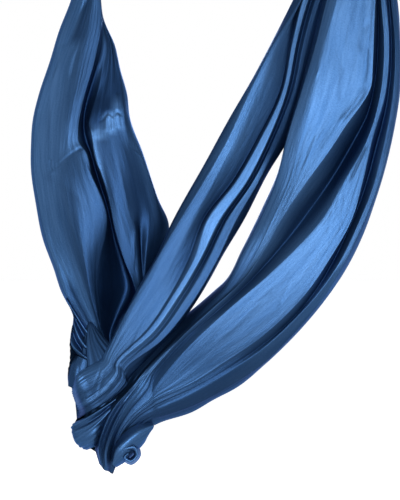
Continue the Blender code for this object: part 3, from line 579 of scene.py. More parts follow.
def rolled_piece(name: str, points: np.ndarray, finish: bpy.types.Material,
                 dark: np.ndarray | float = 0.0, loop: bool = False) -> bpy.types.Object:
    """Makes rings of points into a smooth closed piece with a UV map in metres, and stores each point's
    painted shade.

    Args:
        name: The piece's name.
        points: Rings by points round each ring by three.
        finish: Its material.
        dark: How much painted shade each point gets, from 0 to 1.
        loop: True if the last ring joins the first, False if both ends are closed with a flat face.

    Returns:
        The new object.
    """
    rings, around = points.shape[:2]
    index = np.arange(rings * around).reshape(rings, around)
    beside = np.roll(index, -1, axis=1)
    quads = np.stack((index, beside, np.roll(beside, -1, axis=0), np.roll(index, -1, axis=0)), axis=2)
    quads = (quads if loop else quads[:-1]).reshape(-1, 4)
    caps = [] if loop else [index[0, ::-1].tolist(), index[-1].tolist()]
    mesh = bpy.data.meshes.new(name)
    mesh.from_pydata(points.reshape(-1, 3).tolist(), [], quads.tolist() + caps)
    girth = np.linalg.norm(np.diff(points, axis=1), axis=2).sum(axis=1).mean()
    gone = np.cumsum(np.linalg.norm(np.roll(points, -1, axis=0) - points, axis=2).mean(axis=1))
    down = np.concatenate(([0.0], gone))
    column, ring = np.meshgrid(np.arange(around), np.arange(rings if loop else rings - 1))
    corners = [(column, ring), (column + 1, ring), (column + 1, ring + 1), (column, ring + 1)]
    grid_uv = np.stack([np.stack((c * girth / around, down[r]), axis=2) for c, r in corners], axis=2)
    grid_uv = grid_uv.reshape(-1, 2)
    uv = np.zeros((len(mesh.loops), 2), np.float32)
    uv[:len(grid_uv)] = grid_uv
    mesh.uv_layers.new(name="cloth").data.foreach_set("uv", uv.reshape(-1))
    # Painted shade, which the material mixes into the colour.
    painted_shade = mesh.attributes.new("painted_shade", "FLOAT", "POINT")
    painted_shade.data.foreach_set("value", (np.zeros((rings, around)) + dark).astype(np.float32).reshape(-1))
    mesh.polygons.foreach_set("use_smooth", np.ones(len(mesh.polygons), bool))
    mesh.materials.append(finish)
    mesh.update()
    made = bpy.data.objects.new(name, mesh)
    bpy.context.scene.collection.objects.link(made)
    return made


class Field:
    """A value that changes over a surface, written in a material's nodes as a sum is written on paper."""

    def __init__(self, graph: "Graph", socket: bpy.types.NodeSocket) -> None:
        """Holds a socket of the graph."""
        self.graph = graph
        self.socket = socket

    def _math(self, operation: str, first: "Field | float", second: "Field | float" = 0.0) -> "Field":
        """Adds one Math node."""
        return self.graph.node("ShaderNodeMath", {"operation": operation}, {0: first, 1: second})

    def __add__(self, other: "Field | float") -> "Field":
        """This plus another."""
        return self._math("ADD", self, other)

    def __radd__(self, other: float) -> "Field":
        """A number plus this."""
        return self._math("ADD", other, self)

    def __sub__(self, other: "Field | float") -> "Field":
        """This less another."""
        return self._math("SUBTRACT", self, other)

    def __rsub__(self, other: float) -> "Field":
        """A number less this."""
        return self._math("SUBTRACT", other, self)

    def __mul__(self, other: "Field | float") -> "Field":
        """This times another."""
        return self._math("MULTIPLY", self, other)

    def __rmul__(self, other: float) -> "Field":
        """A number times this."""
        return self._math("MULTIPLY", other, self)

    def sine(self) -> "Field":
        """The sine of this."""
        return self._math("SINE", self)


class Graph:
    """The nodes of one material."""

    def __init__(self, name: str) -> None:
        """Starts a material with only its Principled shader."""
        self.material = bpy.data.materials.new(name)
        self.material.use_nodes = True
        self.tree = self.material.node_tree
        self.shader = self.tree.nodes["Principled BSDF"]

    def node(
        self, kind: str, settings: dict | None = None, inputs: dict | None = None, output: int | str = 0
    ) -> Field:
        """Adds any node.

        Args:
            kind: The node's type.
            settings: Its properties, such as a Math node's operation, set first.
            inputs: Values or fields for its sockets, by name or number.
            output: Which output to hand back.

        Returns:
            The chosen output.
        """
        made = self.tree.nodes.new(kind)
        for key, value in (settings or {}).items():
            setattr(made, key, value)
        for key, value in (inputs or {}).items():
            if isinstance(value, Field):
                self.tree.links.new(value.socket, made.inputs[key])
            else:
                made.inputs[key].default_value = value
        return Field(self, made.outputs[output])

    def blend(self, share: Field | float, first: tuple | Field, second: tuple | Field) -> Field:
        """Mixes two colours by a share."""
        return self.node(
            "ShaderNodeMix", {"data_type": "RGBA", "clamp_factor": True}, {0: share, 6: first, 7: second}, 2
        )

    def stretched(self, source: Field, scale: tuple[float, float, float]) -> Field:
        """Scales a vector, so that a pattern is drawn out along the cloth."""
        return self.node("ShaderNodeVectorMath", {"operation": "MULTIPLY"}, {0: source, 1: scale})

    def noise(self, vector: Field, scale: float, detail: float = 2.0, roughness: float = 0.5) -> Field:
        """Soft noise from 0 to 1."""
        return self.node(
            "ShaderNodeTexNoise", {},
            {"Vector": vector, "Scale": scale, "Detail": detail, "Roughness": roughness},
        )

    def bump(self, height: Field, distance: float, strength: float, over: Field | None = None) -> Field:
        """Raises the surface by a height, on top of another bump if one is given."""
        inputs: dict = {"Height": height, "Distance": distance, "Strength": strength}
        if over is not None:
            inputs["Normal"] = over
        return self.node("ShaderNodeBump", {}, inputs)

    def dress(self, links: dict[str, Field], constants: dict[str, object]) -> bpy.types.Material:
        """Sets the Principled shader's sockets.

        Args:
            links: Fields for the sockets that vary over the surface.
            constants: Values for the others.

        Returns:
            The finished material.
        """
        for key, value in constants.items():
            self.shader.inputs[key].default_value = value
        for key, value in links.items():
            self.tree.links.new(value.socket, self.shader.inputs[key])
        return self.material


@dataclass(frozen=True)
class SatinNylon:
    """Shiny nylon tricot: dark blue, with soft long creases and a fine knit, and painted shade in its folds.
    """

    deep: tuple[float, float, float, float] = (0.014, 0.042, 0.104, 1.0)
    clear: tuple[float, float, float, float] = (0.030, 0.072, 0.156, 1.0)
    # The colour of the painted shade in the cloth's folds.
    shadow: tuple[float, float, float, float] = (0.002, 0.008, 0.026, 1.0)
    tint: tuple[float, float, float, float] = (0.25, 0.5, 1.0, 1.0)
    metallic: float = 0.75
    roughness: float = 0.37
    patches: float = 1.4
    streaks: float = 1.7
    grain: float = 1.3
    crease_depth: float = 0.0022
    knit_depth: float = 0.00015

    def build(self) -> bpy.types.Material:
        """Makes the material."""
        graph = Graph("blue_satin_nylon")
        uv = graph.node("ShaderNodeUVMap", {"uv_map": "cloth"})
        shade = graph.noise(graph.stretched(uv, (9.0, 2.5, 1.0)), 1.0, 3.0)
        streaks = graph.noise(graph.stretched(uv, (210.0, 7.0, 1.0)), 1.0, 3.0, 0.6)
        grain = graph.noise(graph.stretched(uv, (520.0, 420.0, 1.0)), 1.0, 1.0)
        mottled = (shade - 0.5) * self.patches + (streaks - 0.5) * self.streaks
        mottled = mottled + (grain - 0.5) * self.grain + 0.5
        open_colour = graph.blend(mottled, self.deep, self.clear)
        # Painted shade: the colour goes towards the shadow colour by each point's painted_shade attribute.
        painted_shade = graph.node("ShaderNodeAttribute", {"attribute_name": "painted_shade"}, {}, "Fac")
        colour = graph.blend(painted_shade, open_colour, self.shadow)
        long_creases = graph.noise(graph.stretched(uv, (150.0, 9.0, 1.0)), 1.0, 3.0, 0.6)
        drift = graph.noise(graph.stretched(uv, (30.0, 14.0, 1.0)), 1.0, 2.0)
        stitches = graph.stretched(uv, (5200.0, 3800.0, 1.0))
        knit = graph.node("ShaderNodeSeparateXYZ", {}, {0: stitches}, "X").sine()
        wale = graph.node("ShaderNodeSeparateXYZ", {}, {0: stitches}, "Y").sine()
        creased = graph.bump(long_creases * 0.6 + drift * 0.4, self.crease_depth, 0.5)
        knitted = graph.bump(knit * wale, self.knit_depth, 0.25, creased)
        rough = self.roughness - 0.05 + shade * 0.10
        return graph.dress(
            {"Base Color": colour, "Roughness": rough, "Normal": knitted},
            {"Metallic": self.metallic, "Specular Tint": self.tint, "IOR": 1.5, "Specular IOR Level": 0.3},
        )


@dataclass(frozen=True)
class BlackRope:
    """Braided black polyester rope, with painted shade between its strands."""

    colour: tuple[float, float, float, float] = (0.016, 0.017, 0.020, 1.0)
    worn: tuple[float, float, float, float] = (0.034, 0.035, 0.039, 1.0)
    # The colour of the painted shade between the strands.
    between: tuple[float, float, float, float] = (0.004, 0.004, 0.005, 1.0)
    roughness: float = 0.62

    def build(self) -> bpy.types.Material:
        """Makes the material."""
        graph = Graph("black_rope")
        uv = graph.node("ShaderNodeUVMap", {"uv_map": "cloth"})
        fibres = graph.noise(graph.stretched(uv, (2600.0, 900.0, 1.0)), 1.0, 2.0)
        wear = graph.noise(graph.stretched(uv, (120.0, 40.0, 1.0)), 1.0, 2.0)
        # Painted shade: the colour darkens to the between colour in the grooves between strands.
        painted_shade = graph.node("ShaderNodeAttribute", {"attribute_name": "painted_shade"}, {}, "Fac")
        colour = graph.blend(painted_shade, graph.blend(wear, self.colour, self.worn), self.between)
        return graph.dress(
            {"Base Color": colour, "Roughness": self.roughness - 0.06 + wear * 0.12,
             "Normal": graph.bump(fibres, 0.0002, 0.5)},
            {"Metallic": 0.0, "IOR": 1.5},
        )


@dataclass(frozen=True)
class BrushedSteel:
    """Bright steel with fine brush marks and faint wear."""

    colour: tuple[float, float, float, float] = (0.17, 0.175, 0.185, 1.0)
    bright: tuple[float, float, float, float] = (0.30, 0.305, 0.32, 1.0)
    roughness: float = 0.27

    def build(self) -> bpy.types.Material:
        """Makes the material."""
        graph = Graph("bright_steel")
        place = graph.node("ShaderNodeTexCoord", {}, {}, "Object")
        brush = graph.noise(graph.stretched(place, (2600.0, 2600.0, 130.0)), 1.0, 2.0)
        wear = graph.noise(graph.stretched(place, (90.0, 90.0, 60.0)), 1.0, 3.0)
        return graph.dress(
            {"Base Color": graph.blend(wear * 0.7 + brush * 0.3, self.colour, self.bright),
             "Roughness": self.roughness - 0.07 + wear * 0.10 + brush * 0.06,
             "Normal": graph.bump(brush, 0.00006, 0.35)},
            {"Metallic": 1.0},
        )


@dataclass(frozen=True)
class Studio:
    """The camera, soft lamps, and a white floor and surround."""

    floor_z: float = -2.05
    floor_radius: float = 40.0
    floor_white: float = 0.82
    floor_glow: float = 0.85
    ambient: float = 0.16

    def camera(self) -> None:
        """Places the camera level with the middle of the picture."""
        data = bpy.data.cameras.new("camera")
        data.lens = SIGHT.lens
        data.sensor_fit = "AUTO"
        data.clip_end = 100.0
        made = bpy.data.objects.new("camera", data)
        made.location = SIGHT.eye
        made.rotation_euler = (math.radians(90.0), 0.0, 0.0)
        bpy.context.scene.collection.objects.link(made)
        bpy.context.scene.camera = made

    def lamp(self, name: str, place: tuple[float, float, float], aim: tuple[float, float, float],
             size: tuple[float, float], power: float) -> None:
        """Adds a soft rectangular lamp.

        Args:
            name: Its name.
            place: Where it stands.
            aim: The point that it faces.
            size: Its width and height in metres.
            power: Its power in watts.
        """
        data = bpy.data.lights.new(name, "AREA")
        data.shape = "RECTANGLE"
        data.size, data.size_y = size
        data.energy = power
        made = bpy.data.objects.new(name, data)
        made.location = place
        made.rotation_euler = (Vector(aim) - Vector(place)).to_track_quat("-Z", "Y").to_euler()
        bpy.context.scene.collection.objects.link(made)

    def surround(self) -> None:
        """Makes the world white to the camera and a plain grey to the cloth."""
        world = bpy.data.worlds.new("surround")
        world.use_nodes = True
        tree = world.node_tree
        background = tree.nodes["Background"]
        background.inputs["Color"].default_value = (1.0, 1.0, 1.0, 1.0)
        path = tree.nodes.new("ShaderNodeLightPath")
        seen = tree.nodes.new("ShaderNodeMath")
        seen.operation = "MAXIMUM"
        white = tree.nodes.new("ShaderNodeMath")
        white.operation = "MAXIMUM"
        strength = tree.nodes.new("ShaderNodeMapRange")
        strength.inputs["To Min"].default_value = self.ambient
        strength.inputs["To Max"].default_value = 1.0
        tree.links.new(path.outputs["Is Camera Ray"], seen.inputs[0])
        tree.links.new(path.outputs["Is Glossy Ray"], seen.inputs[1])
        tree.links.new(seen.outputs[0], white.inputs[0])
        tree.links.new(path.outputs["Is Transmission Ray"], white.inputs[1])
        tree.links.new(white.outputs[0], strength.inputs["Value"])
        tree.links.new(strength.outputs["Result"], background.inputs["Strength"])
        bpy.context.scene.world = world

    def floor(self) -> None:
        """Lays a wide white floor that keeps the hammock's shadow."""
        bpy.ops.object.select_all(action="DESELECT")
        bpy.ops.mesh.primitive_circle_add(
            vertices=64, radius=self.floor_radius, fill_type="NGON", location=(0.3, 0.0, 0.0)
        )
        made = bpy.context.object
        made.name = "studio_floor"
        bpy.ops.transform.translate(value=(0.0, 0.0, self.floor_z))
        bpy.ops.object.transform_apply(location=True)
        graph = Graph("studio_white")
        seen = graph.node("ShaderNodeLightPath", {}, {}, "Is Camera Ray")
        mirrored = graph.node("ShaderNodeLightPath", {}, {}, "Is Glossy Ray")
        through = graph.node("ShaderNodeLightPath", {}, {}, "Is Transmission Ray")
        lit = graph.node("ShaderNodeMath", {"operation": "MAXIMUM"}, {0: seen, 1: mirrored})
        lit = graph.node("ShaderNodeMath", {"operation": "MAXIMUM"}, {0: lit, 1: through})
        white = (self.floor_white, self.floor_white, self.floor_white, 1.0)
        graph.dress({}, {"Base Color": white, "Roughness": 0.9})
        light = {"Color": (1.0, 1.0, 1.0, 1.0), "Strength": self.floor_glow}
        glow = graph.node("ShaderNodeEmission", {}, light)
        plain = Field(graph, graph.shader.outputs[0])
        added = graph.node("ShaderNodeAddShader", {}, {0: plain, 1: glow})
        mixed = graph.node("ShaderNodeMixShader", {}, {0: lit, 1: plain, 2: added})
        output = next(n for n in graph.tree.nodes if n.type == "OUTPUT_MATERIAL")
        graph.tree.links.new(mixed.socket, output.inputs["Surface"])
        made.data.materials.append(graph.material)

    def build(self) -> None:
        """Sets up the whole studio."""
        self.camera()
        self.lamp("key", (0.45, -3.2, -0.50), (0.25, 0.0, -1.0), (0.8, 0.8), 74.0)
        self.lamp("low_key", (0.05, -3.1, -1.55), (0.08, 0.0, -1.42), (0.6, 0.6), 60.0)
        self.lamp("right_fill", (2.6, -1.6, -0.6), (0.3, 0.0, -1.0), (1.0, 1.4), 16.0)
        self.lamp("left_fill", (-2.4, -1.2, -0.4), (0.1, 0.0, -1.0), (1.0, 1.4), 12.0)
        self.lamp("back_fill", (0.6, 3.2, 0.2), (0.3, 0.0, -0.9), (2.0, 2.0), 70.0)
        self.surround()
        self.floor()
        bpy.context.scene.view_settings.view_transform = "Standard"


LEFT_CREASES = (
    Crease(((52, 183), (60, 175), (65, 170), (71, 164), (77, 160), (83, 156), (90, 154)), 1.7,
           left=7.0, right=34.0),
    Crease(((49, 176), (57, 168), (62, 163), (68, 157), (74, 153), (80, 149), (88, 147)), -1.3,
           left=2.0, right=0.9),
    Crease(((51, 158), (51, 166), (53, 172)), -1.2, 1.4, 1.4),
    Crease(((87, 118), (90, 127), (92, 136), (94, 150), (98, 168), (106, 196)), 2.0, left=3.0, right=0.9),
    Crease(((86, 122), (92, 133), (97, 137), (106, 133), (118, 129), (131, 128), (140, 128)), 1.2,
           left=9.0, right=24.0),
    Crease(((97, 123), (103, 120), (108, 113), (113, 117), (117, 112), (121, 115), (124, 99), (130, 93)),
           -0.9, left=2.0, right=0.9),
    Crease(((106, 132), (106, 114)), 0.7, 1.3, 1.3),
    Crease(((113, 131), (112, 113)), 0.7, 1.3, 1.3),
    Crease(((120, 129), (118, 113)), 0.6, 1.3, 1.3),
    Crease(((117, 92), (118, 113)), 0.8, 1.1, 1.1),
    Crease(((125, 92), (126, 108), (124, 125)), 0.9, 1.2, 1.2),
    Crease(((134, 150), (143, 159)), 0.8, 1.0, 1.0),
    Crease(((87, 0), (80, 13), (74, 30), (71, 43)), -0.8, 1.6, 2.6),
    Crease(((58, 45), (66, 43), (74, 42)), -0.8, 1.2, 1.2),
    Crease(((101, 18), (100, 50), (98, 70)), 0.8, 1.8, 1.8),
    Crease(((78, 48), (74, 62), (70, 80)), -0.9, 2.4, 2.4),
    Crease(((84, 100), (83, 116), (86, 128)), -0.9, 2.0, 2.0),
    Crease(((98, 62), (91, 84), (84, 106)), -1.4, 1.8, 1.8),
    Crease(((136, 225), (134, 250), (133, 272)), 0.9, 1.6, 1.6),
    Crease(((60, 262), (70, 290), (82, 315)), -0.3, 2.0, 2.0),
)

INNER_CREASES = (
    Crease(((202, 222), (205, 232)), 0.5, 1.1, 1.1),
    Crease(((206, 218), (210, 229)), 0.5, 1.1, 1.1),
    Crease(((211, 215), (214, 225)), 0.5, 1.1, 1.1),
    Crease(((188, 248), (176, 266)), 0.5, 1.2, 1.2),
    Crease(((152, 308), (140, 330), (126, 358)), 0.7, 1.3, 1.3),
    Crease(((102, 364), (98, 376), (92, 390)), -0.8, 1.3, 1.3),
    Crease(((105, 368), (101, 383), (97, 398)), -0.7, 1.3, 1.3),
    Crease(((119, 364), (124, 370), (131, 368)), 1.6, 1.8, 1.8),
    Crease(((106, 386), (120, 379), (133, 370)), 1.3, 1.6, 1.6),
)

OUTER_CREASES = (
    Crease(((376, 20), (369, 24), (364, 30), (362, 40), (359, 54)), -0.9, 1.0, 1.0),
    Crease(((367, 45), (366, 70), (360, 88)), 0.8, 1.4, 1.4),
    Crease(((366, 86), (358, 101), (348, 113), (338, 125)), 1.2, 2.2, 1.6),
    Crease(((316, 77), (319, 68)), 0.6, 1.0, 1.0),
    Crease(((344, 62), (341, 80), (339, 104)), -0.7, 2.4, 1.4),
    Crease(((331, 28), (326, 70), (316, 112)), 0.35, 1.3, 1.3),
    Crease(((338, 40), (332, 84), (322, 122)), -0.35, 1.3, 1.3),
    Crease(((347, 20), (343, 56)), 0.3, 1.2, 1.2),
    Crease(((354, 10), (352, 50)), -0.3, 1.2, 1.2),
    Crease(((322, 118), (312, 148), (302, 172)), 0.35, 1.2, 1.2),
    Crease(((330, 122), (318, 150)), -0.3, 1.2, 1.2),
    Crease(((369, 141), (360, 160), (349, 184)), -1.3, 1.1, 1.1),
    Crease(((340, 186), (336, 216)), -0.4, 1.1, 1.1),
    Crease(((346, 190), (341, 224)), -0.4, 1.1, 1.1),
    Crease(((333, 206), (327, 236)), -0.35, 1.1, 1.1),
    Crease(((268, 290), (275, 296), (284, 299)), -0.7, 1.2, 1.2),
    Crease(((290, 284), (283, 296), (279, 310)), -0.5, 1.2, 1.2),
    Crease(((262, 300), (240, 322), (214, 344)), 0.4, 2.0, 2.0),
    Crease(((195, 390), (224, 370), (256, 348), (288, 326)), 0.9, 2.6, 2.2),
    Crease(((138, 371), (126, 396), (122, 408)), 1.2, 1.4, 1.4),
    Crease(((123, 401), (127, 409)), 1.0, 1.1, 1.1),
)

LEFT_DEPTHS = (
    (0.00, 0.000, 0.018), (0.18, 0.003, 0.021), (0.35, 0.016, 0.032), (0.51, 0.030, 0.042),
    (0.64, 0.036, 0.042), (0.78, 0.038, 0.036), (0.85, 0.034, 0.032), (0.93, 0.028, 0.028),
)

# Each fold's dark entries give its painted shade down the arm.
LEFT_FOLDS = (
    HiddenFold("first hem", 230.0, 0.20, 0.28, 0.40),
    HiddenFold("first inner run, right", 330.0, 0.84, 0.33, 0.45),
    HiddenFold("second inner run, left", 200.0, 0.16, 0.38, 0.50),
    HiddenFold("third inner run, right", 340.0, 0.88, 0.44, 0.60),
    HiddenFold("fourth inner run, left", 210.0, 0.14, 0.50, 0.70),
    HiddenFold("fifth inner run, right", 335.0, 0.86, 0.56, 0.75),
    HiddenFold("sixth inner run, left", 215.0, 0.24, 0.60, 0.80),
    HiddenFold("inner turn at the right", 320.0, 0.93, 0.66, 0.85),
    HiddenFold("back, right", 300.0, 0.88, 0.90),
    HiddenFold("back, right valley", 285.0, 0.70, 0.74),
    HiddenFold("back, middle", 265.0, 0.52, 1.02),
    HiddenFold("back, left valley", 245.0, 0.33, 0.76),
    HiddenFold("back, left", 220.0, 0.13, 0.88),
    Fold("left edge", 185.0, (
        (71, 0, 10), (59, 31, 15), (50, 61, 20), (39, 94, 26), (33, 119, 30), (31, 147, 33), (31, 168, 34),
        (36, 204, 37), (43, 239, 38), (54, 269, 38), (62, 293, 38), (74, 314, 36), (89, 334, 30),
        (102, 350, 26),
    )),
    Fold("left rim", 168.0, soft=0.35, marks=(
        (74, 0, -4), (62, 31, 0), (53, 61, 3), (42, 94, 8), (36, 119, 11), (34, 147, 13), (34, 168, 14),
        (39, 204, 14), (46, 239, 14), (57, 269, 14), (65, 293, 15), (77, 314, 18), (91, 334, 19),
        (103, 349, 21),
    )),
    Fold("low left crease", 158.0, dark=((0.76, 0.0), (0.79, 0.7), (0.86, 0.6)), marks=(
        (78, 0, -10), (67, 31, -7), (58, 61, -4), (47, 94, 2), (41, 119, 6), (40, 147, 9), (40, 166, 10),
        (42, 178, 9), (45, 204, 9), (53, 239, 10), (64, 269, 11), (73, 293, 13), (84, 314, 15), (94, 334, 18),
        (105, 349, 21),
    )),
    Fold("lip beside the top crease", 146.0, (
        (83, 0, -13), (74, 26, -12), (66, 46, -9), (57, 70, -6), (52, 94, -3), (49, 119, 1), (48, 147, 4),
        (48, 166, 5), (50, 178, 3), (54, 204, 2), (62, 239, 5), (72, 269, 8), (81, 293, 10), (90, 314, 12),
        (98, 334, 15), (106, 348, 18),
    )),
    Fold("top crease", 132.0,
         dark=((0.22, 0.6), (0.31, 0.6), (0.33, 0.0), (0.55, 0.1), (0.7, 0.3), (0.9, 0.25)), marks=(
        (88, 0, -14), (81, 22, -16), (73, 42, -14), (65, 64, -12), (60, 94, -9), (57, 119, -6), (56, 146, -2),
        (56, 164, -1), (58, 176, -4), (62, 204, -4), (70, 239, 0), (79, 269, 4), (87, 293, 6), (94, 314, 9),
        (101, 334, 13), (107, 348, 17),
    )),
    Fold("main left ridge", 112.0,
         dark=((0.24, 0.2), (0.30, 0.45), (0.46, 0.4), (0.52, 0.1), (0.57, 0.4), (0.7, 0.5),
               (0.76, 0.72), (0.9, 0.65)), marks=(
        (94, 0, -18), (90, 28, -20), (82, 60, -19), (75, 94, -17), (70, 119, -13), (67, 142, -8),
        (67, 158, -7), (70, 170, -10), (76, 204, -11), (82, 239, -7), (87, 269, -2), (91, 293, 2),
        (96, 314, 6),
        (102, 334, 11), (107, 347, 16),
    )),
    Fold("edge of the left panel", 92.0, soft=0.4, marks=(
        (101, 0, -16), (102, 19, -18), (98, 45, -19), (92, 70, -19), (86, 90, -18), (81, 110, -14),
        (78, 130, -9), (79, 143, -8), (86, 152, -11), (89, 162, -13), (91, 173, -14), (97, 187, -13),
        (103, 201, -10), (107, 217, -6), (105, 236, 0), (100, 258, 6), (98, 280, 10), (100, 306, 12),
        (103, 334, 13), (109, 347, 17),
    ), dark=((0.24, 0.5), (0.40, 0.6), (0.49, 0.5), (0.52, 0.2), (0.56, 0.55), (0.63, 0.6), (0.69, 0.8),
             (0.86, 0.8))),
    Fold("dark valley", 76.0, dark=((0.24, 0.3), (0.38, 0.6), (0.50, 0.7), (0.53, 1.0), (0.86, 1.0)), marks=(
        (100, 0, -8), (102, 19, -6), (102, 45, -3), (96, 70, 0), (90, 90, 4), (85, 110, 7), (84, 128, 8),
        (87, 142, 8), (91, 153, 10), (95, 168, 10), (100, 184, 8), (105, 199, 6), (110, 218, 10),
        (115, 240, 22),
        (124, 266, 38), (129, 288, 42), (118, 314, 34), (110, 334, 26), (110, 347, 22),
    )),
    Fold("edge of the right panel", 64.0, soft=0.3, marks=(
        (99, 0, 2), (102, 19, 3), (107, 45, 1), (103, 70, 0), (97, 95, -2), (91, 115, -8), (89, 124, -9),
        (91, 132, -10), (93, 143, -11), (95, 158, -11), (101, 173, -11), (109, 200, -11), (115, 230, -8),
        (124, 260, -3), (133, 282, 3), (136, 294, 9), (120, 320, 18), (111, 347, 22),
    ), dark=((0.24, 0.6), (0.46, 0.8), (0.485, 0.6), (0.495, 0.0), (0.56, 0.1), (0.59, 0.5),
             (0.65, 0.5), (0.8, 0.8))),
    Fold("first dark pleat", 54.0, soft=0.7, marks=(
        (98, 0, 3), (102, 19, 4), (109, 45, 4), (107, 70, 3), (102, 95, -3), (100, 112, -9), (99, 128, -10),
        (101, 145, -13), (106, 166, -14), (113, 190, -14), (120, 220, -11), (129, 250, -5), (135, 278, 3),
        (139, 294, 10), (121, 320, 20), (111, 347, 23),
    ), dark=((0.24, 0.6), (0.47, 0.9), (0.484, 0.5), (0.49, 0.0), (0.502, 0.0), (0.511, 0.65),
             (0.66, 0.6), (0.8, 0.7))),
    Fold("pleat ridge", 44.0, soft=0.7, marks=(
        (99, 0, 3), (103, 19, 4), (111, 45, 3), (112, 70, 2), (110, 95, -4), (109, 112, -10.5),
        (110, 127, -11),
        (112, 140, -13), (116, 156, -15), (122, 180, -14), (129, 210, -9), (136, 232, -3), (138, 256, -1),
        (140, 280, 6), (141, 294, 13), (122, 320, 21), (112, 347, 24),
    ), dark=((0.24, 0.6), (0.45, 0.85), (0.463, 0.0), (0.492, 0.0), (0.502, 0.6), (0.6, 0.65),
             (0.66, 0.6), (0.76, 0.6), (0.82, 0.35))),
    Fold("second dark pleat", 34.0, soft=0.7, marks=(
        (98, 0, 6), (103, 19, 7), (112, 45, 7), (116, 70, 6), (117, 95, -2), (117, 112, -8.5), (118, 127, -9),
        (121, 140, -10), (126, 156, -11), (133, 184, -7), (138, 210, 0), (140, 230, 7),
        (141, 250, 9), (142, 268, 9), (143, 282, 11), (143, 294, 16), (123, 320, 22), (112, 347, 24),
    ), dark=((0.24, 0.6), (0.42, 0.85), (0.44, 0.0), (0.483, 0.0), (0.493, 0.55), (0.6, 0.8), (0.85, 0.9))),
    Fold("narrow ridge", 24.0, soft=0.7, marks=(
        (99, 0, 6), (103, 18, 6), (113, 45, 6), (119, 70, 6), (122, 90, 2), (124, 108, -5), (126, 124, -6),
        (131, 142, -5), (137, 162, -3), (144, 190, 2), (149, 214, 6), (148, 232, 6), (146, 252, 6),
        (145, 275, 10), (145, 294, 18), (124, 320, 24), (113, 347, 25),
    ), dark=((0.24, 0.6), (0.38, 0.8), (0.43, 0.7), (0.46, 0.55), (0.52, 0.5), (0.6, 0.75), (0.85, 0.8))),
    Fold("right rim", 12.0, soft=0.6, marks=(
        (100, 0, 5), (103, 17, 6), (114, 46, 7), (120, 71, 8), (125, 94, 8), (128, 114, 6), (133, 134, 3),
        (140, 151, 4), (149, 175, 8), (157, 200, 12), (162, 225, 16), (160, 245, 19), (155, 270, 23),
        (147, 294, 26), (125, 320, 27), (113, 347, 26),
    ), dark=((0.5, 0.0), (0.55, 0.3), (0.65, 0.6), (0.85, 0.7))),
    Fold("right edge", 0.0, dark=((0.5, 0.2), (0.6, 0.4), (0.8, 0.8)), marks=(
        (101, 0, 8), (103, 17, 10), (115, 46, 14), (120, 69, 17), (127, 94, 20), (130, 119, 20),
        (142, 151, 22),
        (157, 197, 28), (169, 225, 34), (168, 240, 38), (163, 265, 38), (149, 294, 36), (126, 320, 34),
        (114, 347, 30),
    )),
    HiddenFold("second hem", 350.0, 0.86, 0.24, 0.7),
)

INNER_DEPTHS = (
    (0.00, 0.000, 0.016), (0.10, -0.004, 0.021), (0.42, -0.024, 0.024), (0.60, -0.034, 0.026),
    (0.80, -0.040, 0.026), (0.93, -0.036, 0.026), (1.02, -0.032, 0.024), (1.12, -0.018, 0.020),
    (1.24, 0.006, 0.010),
)
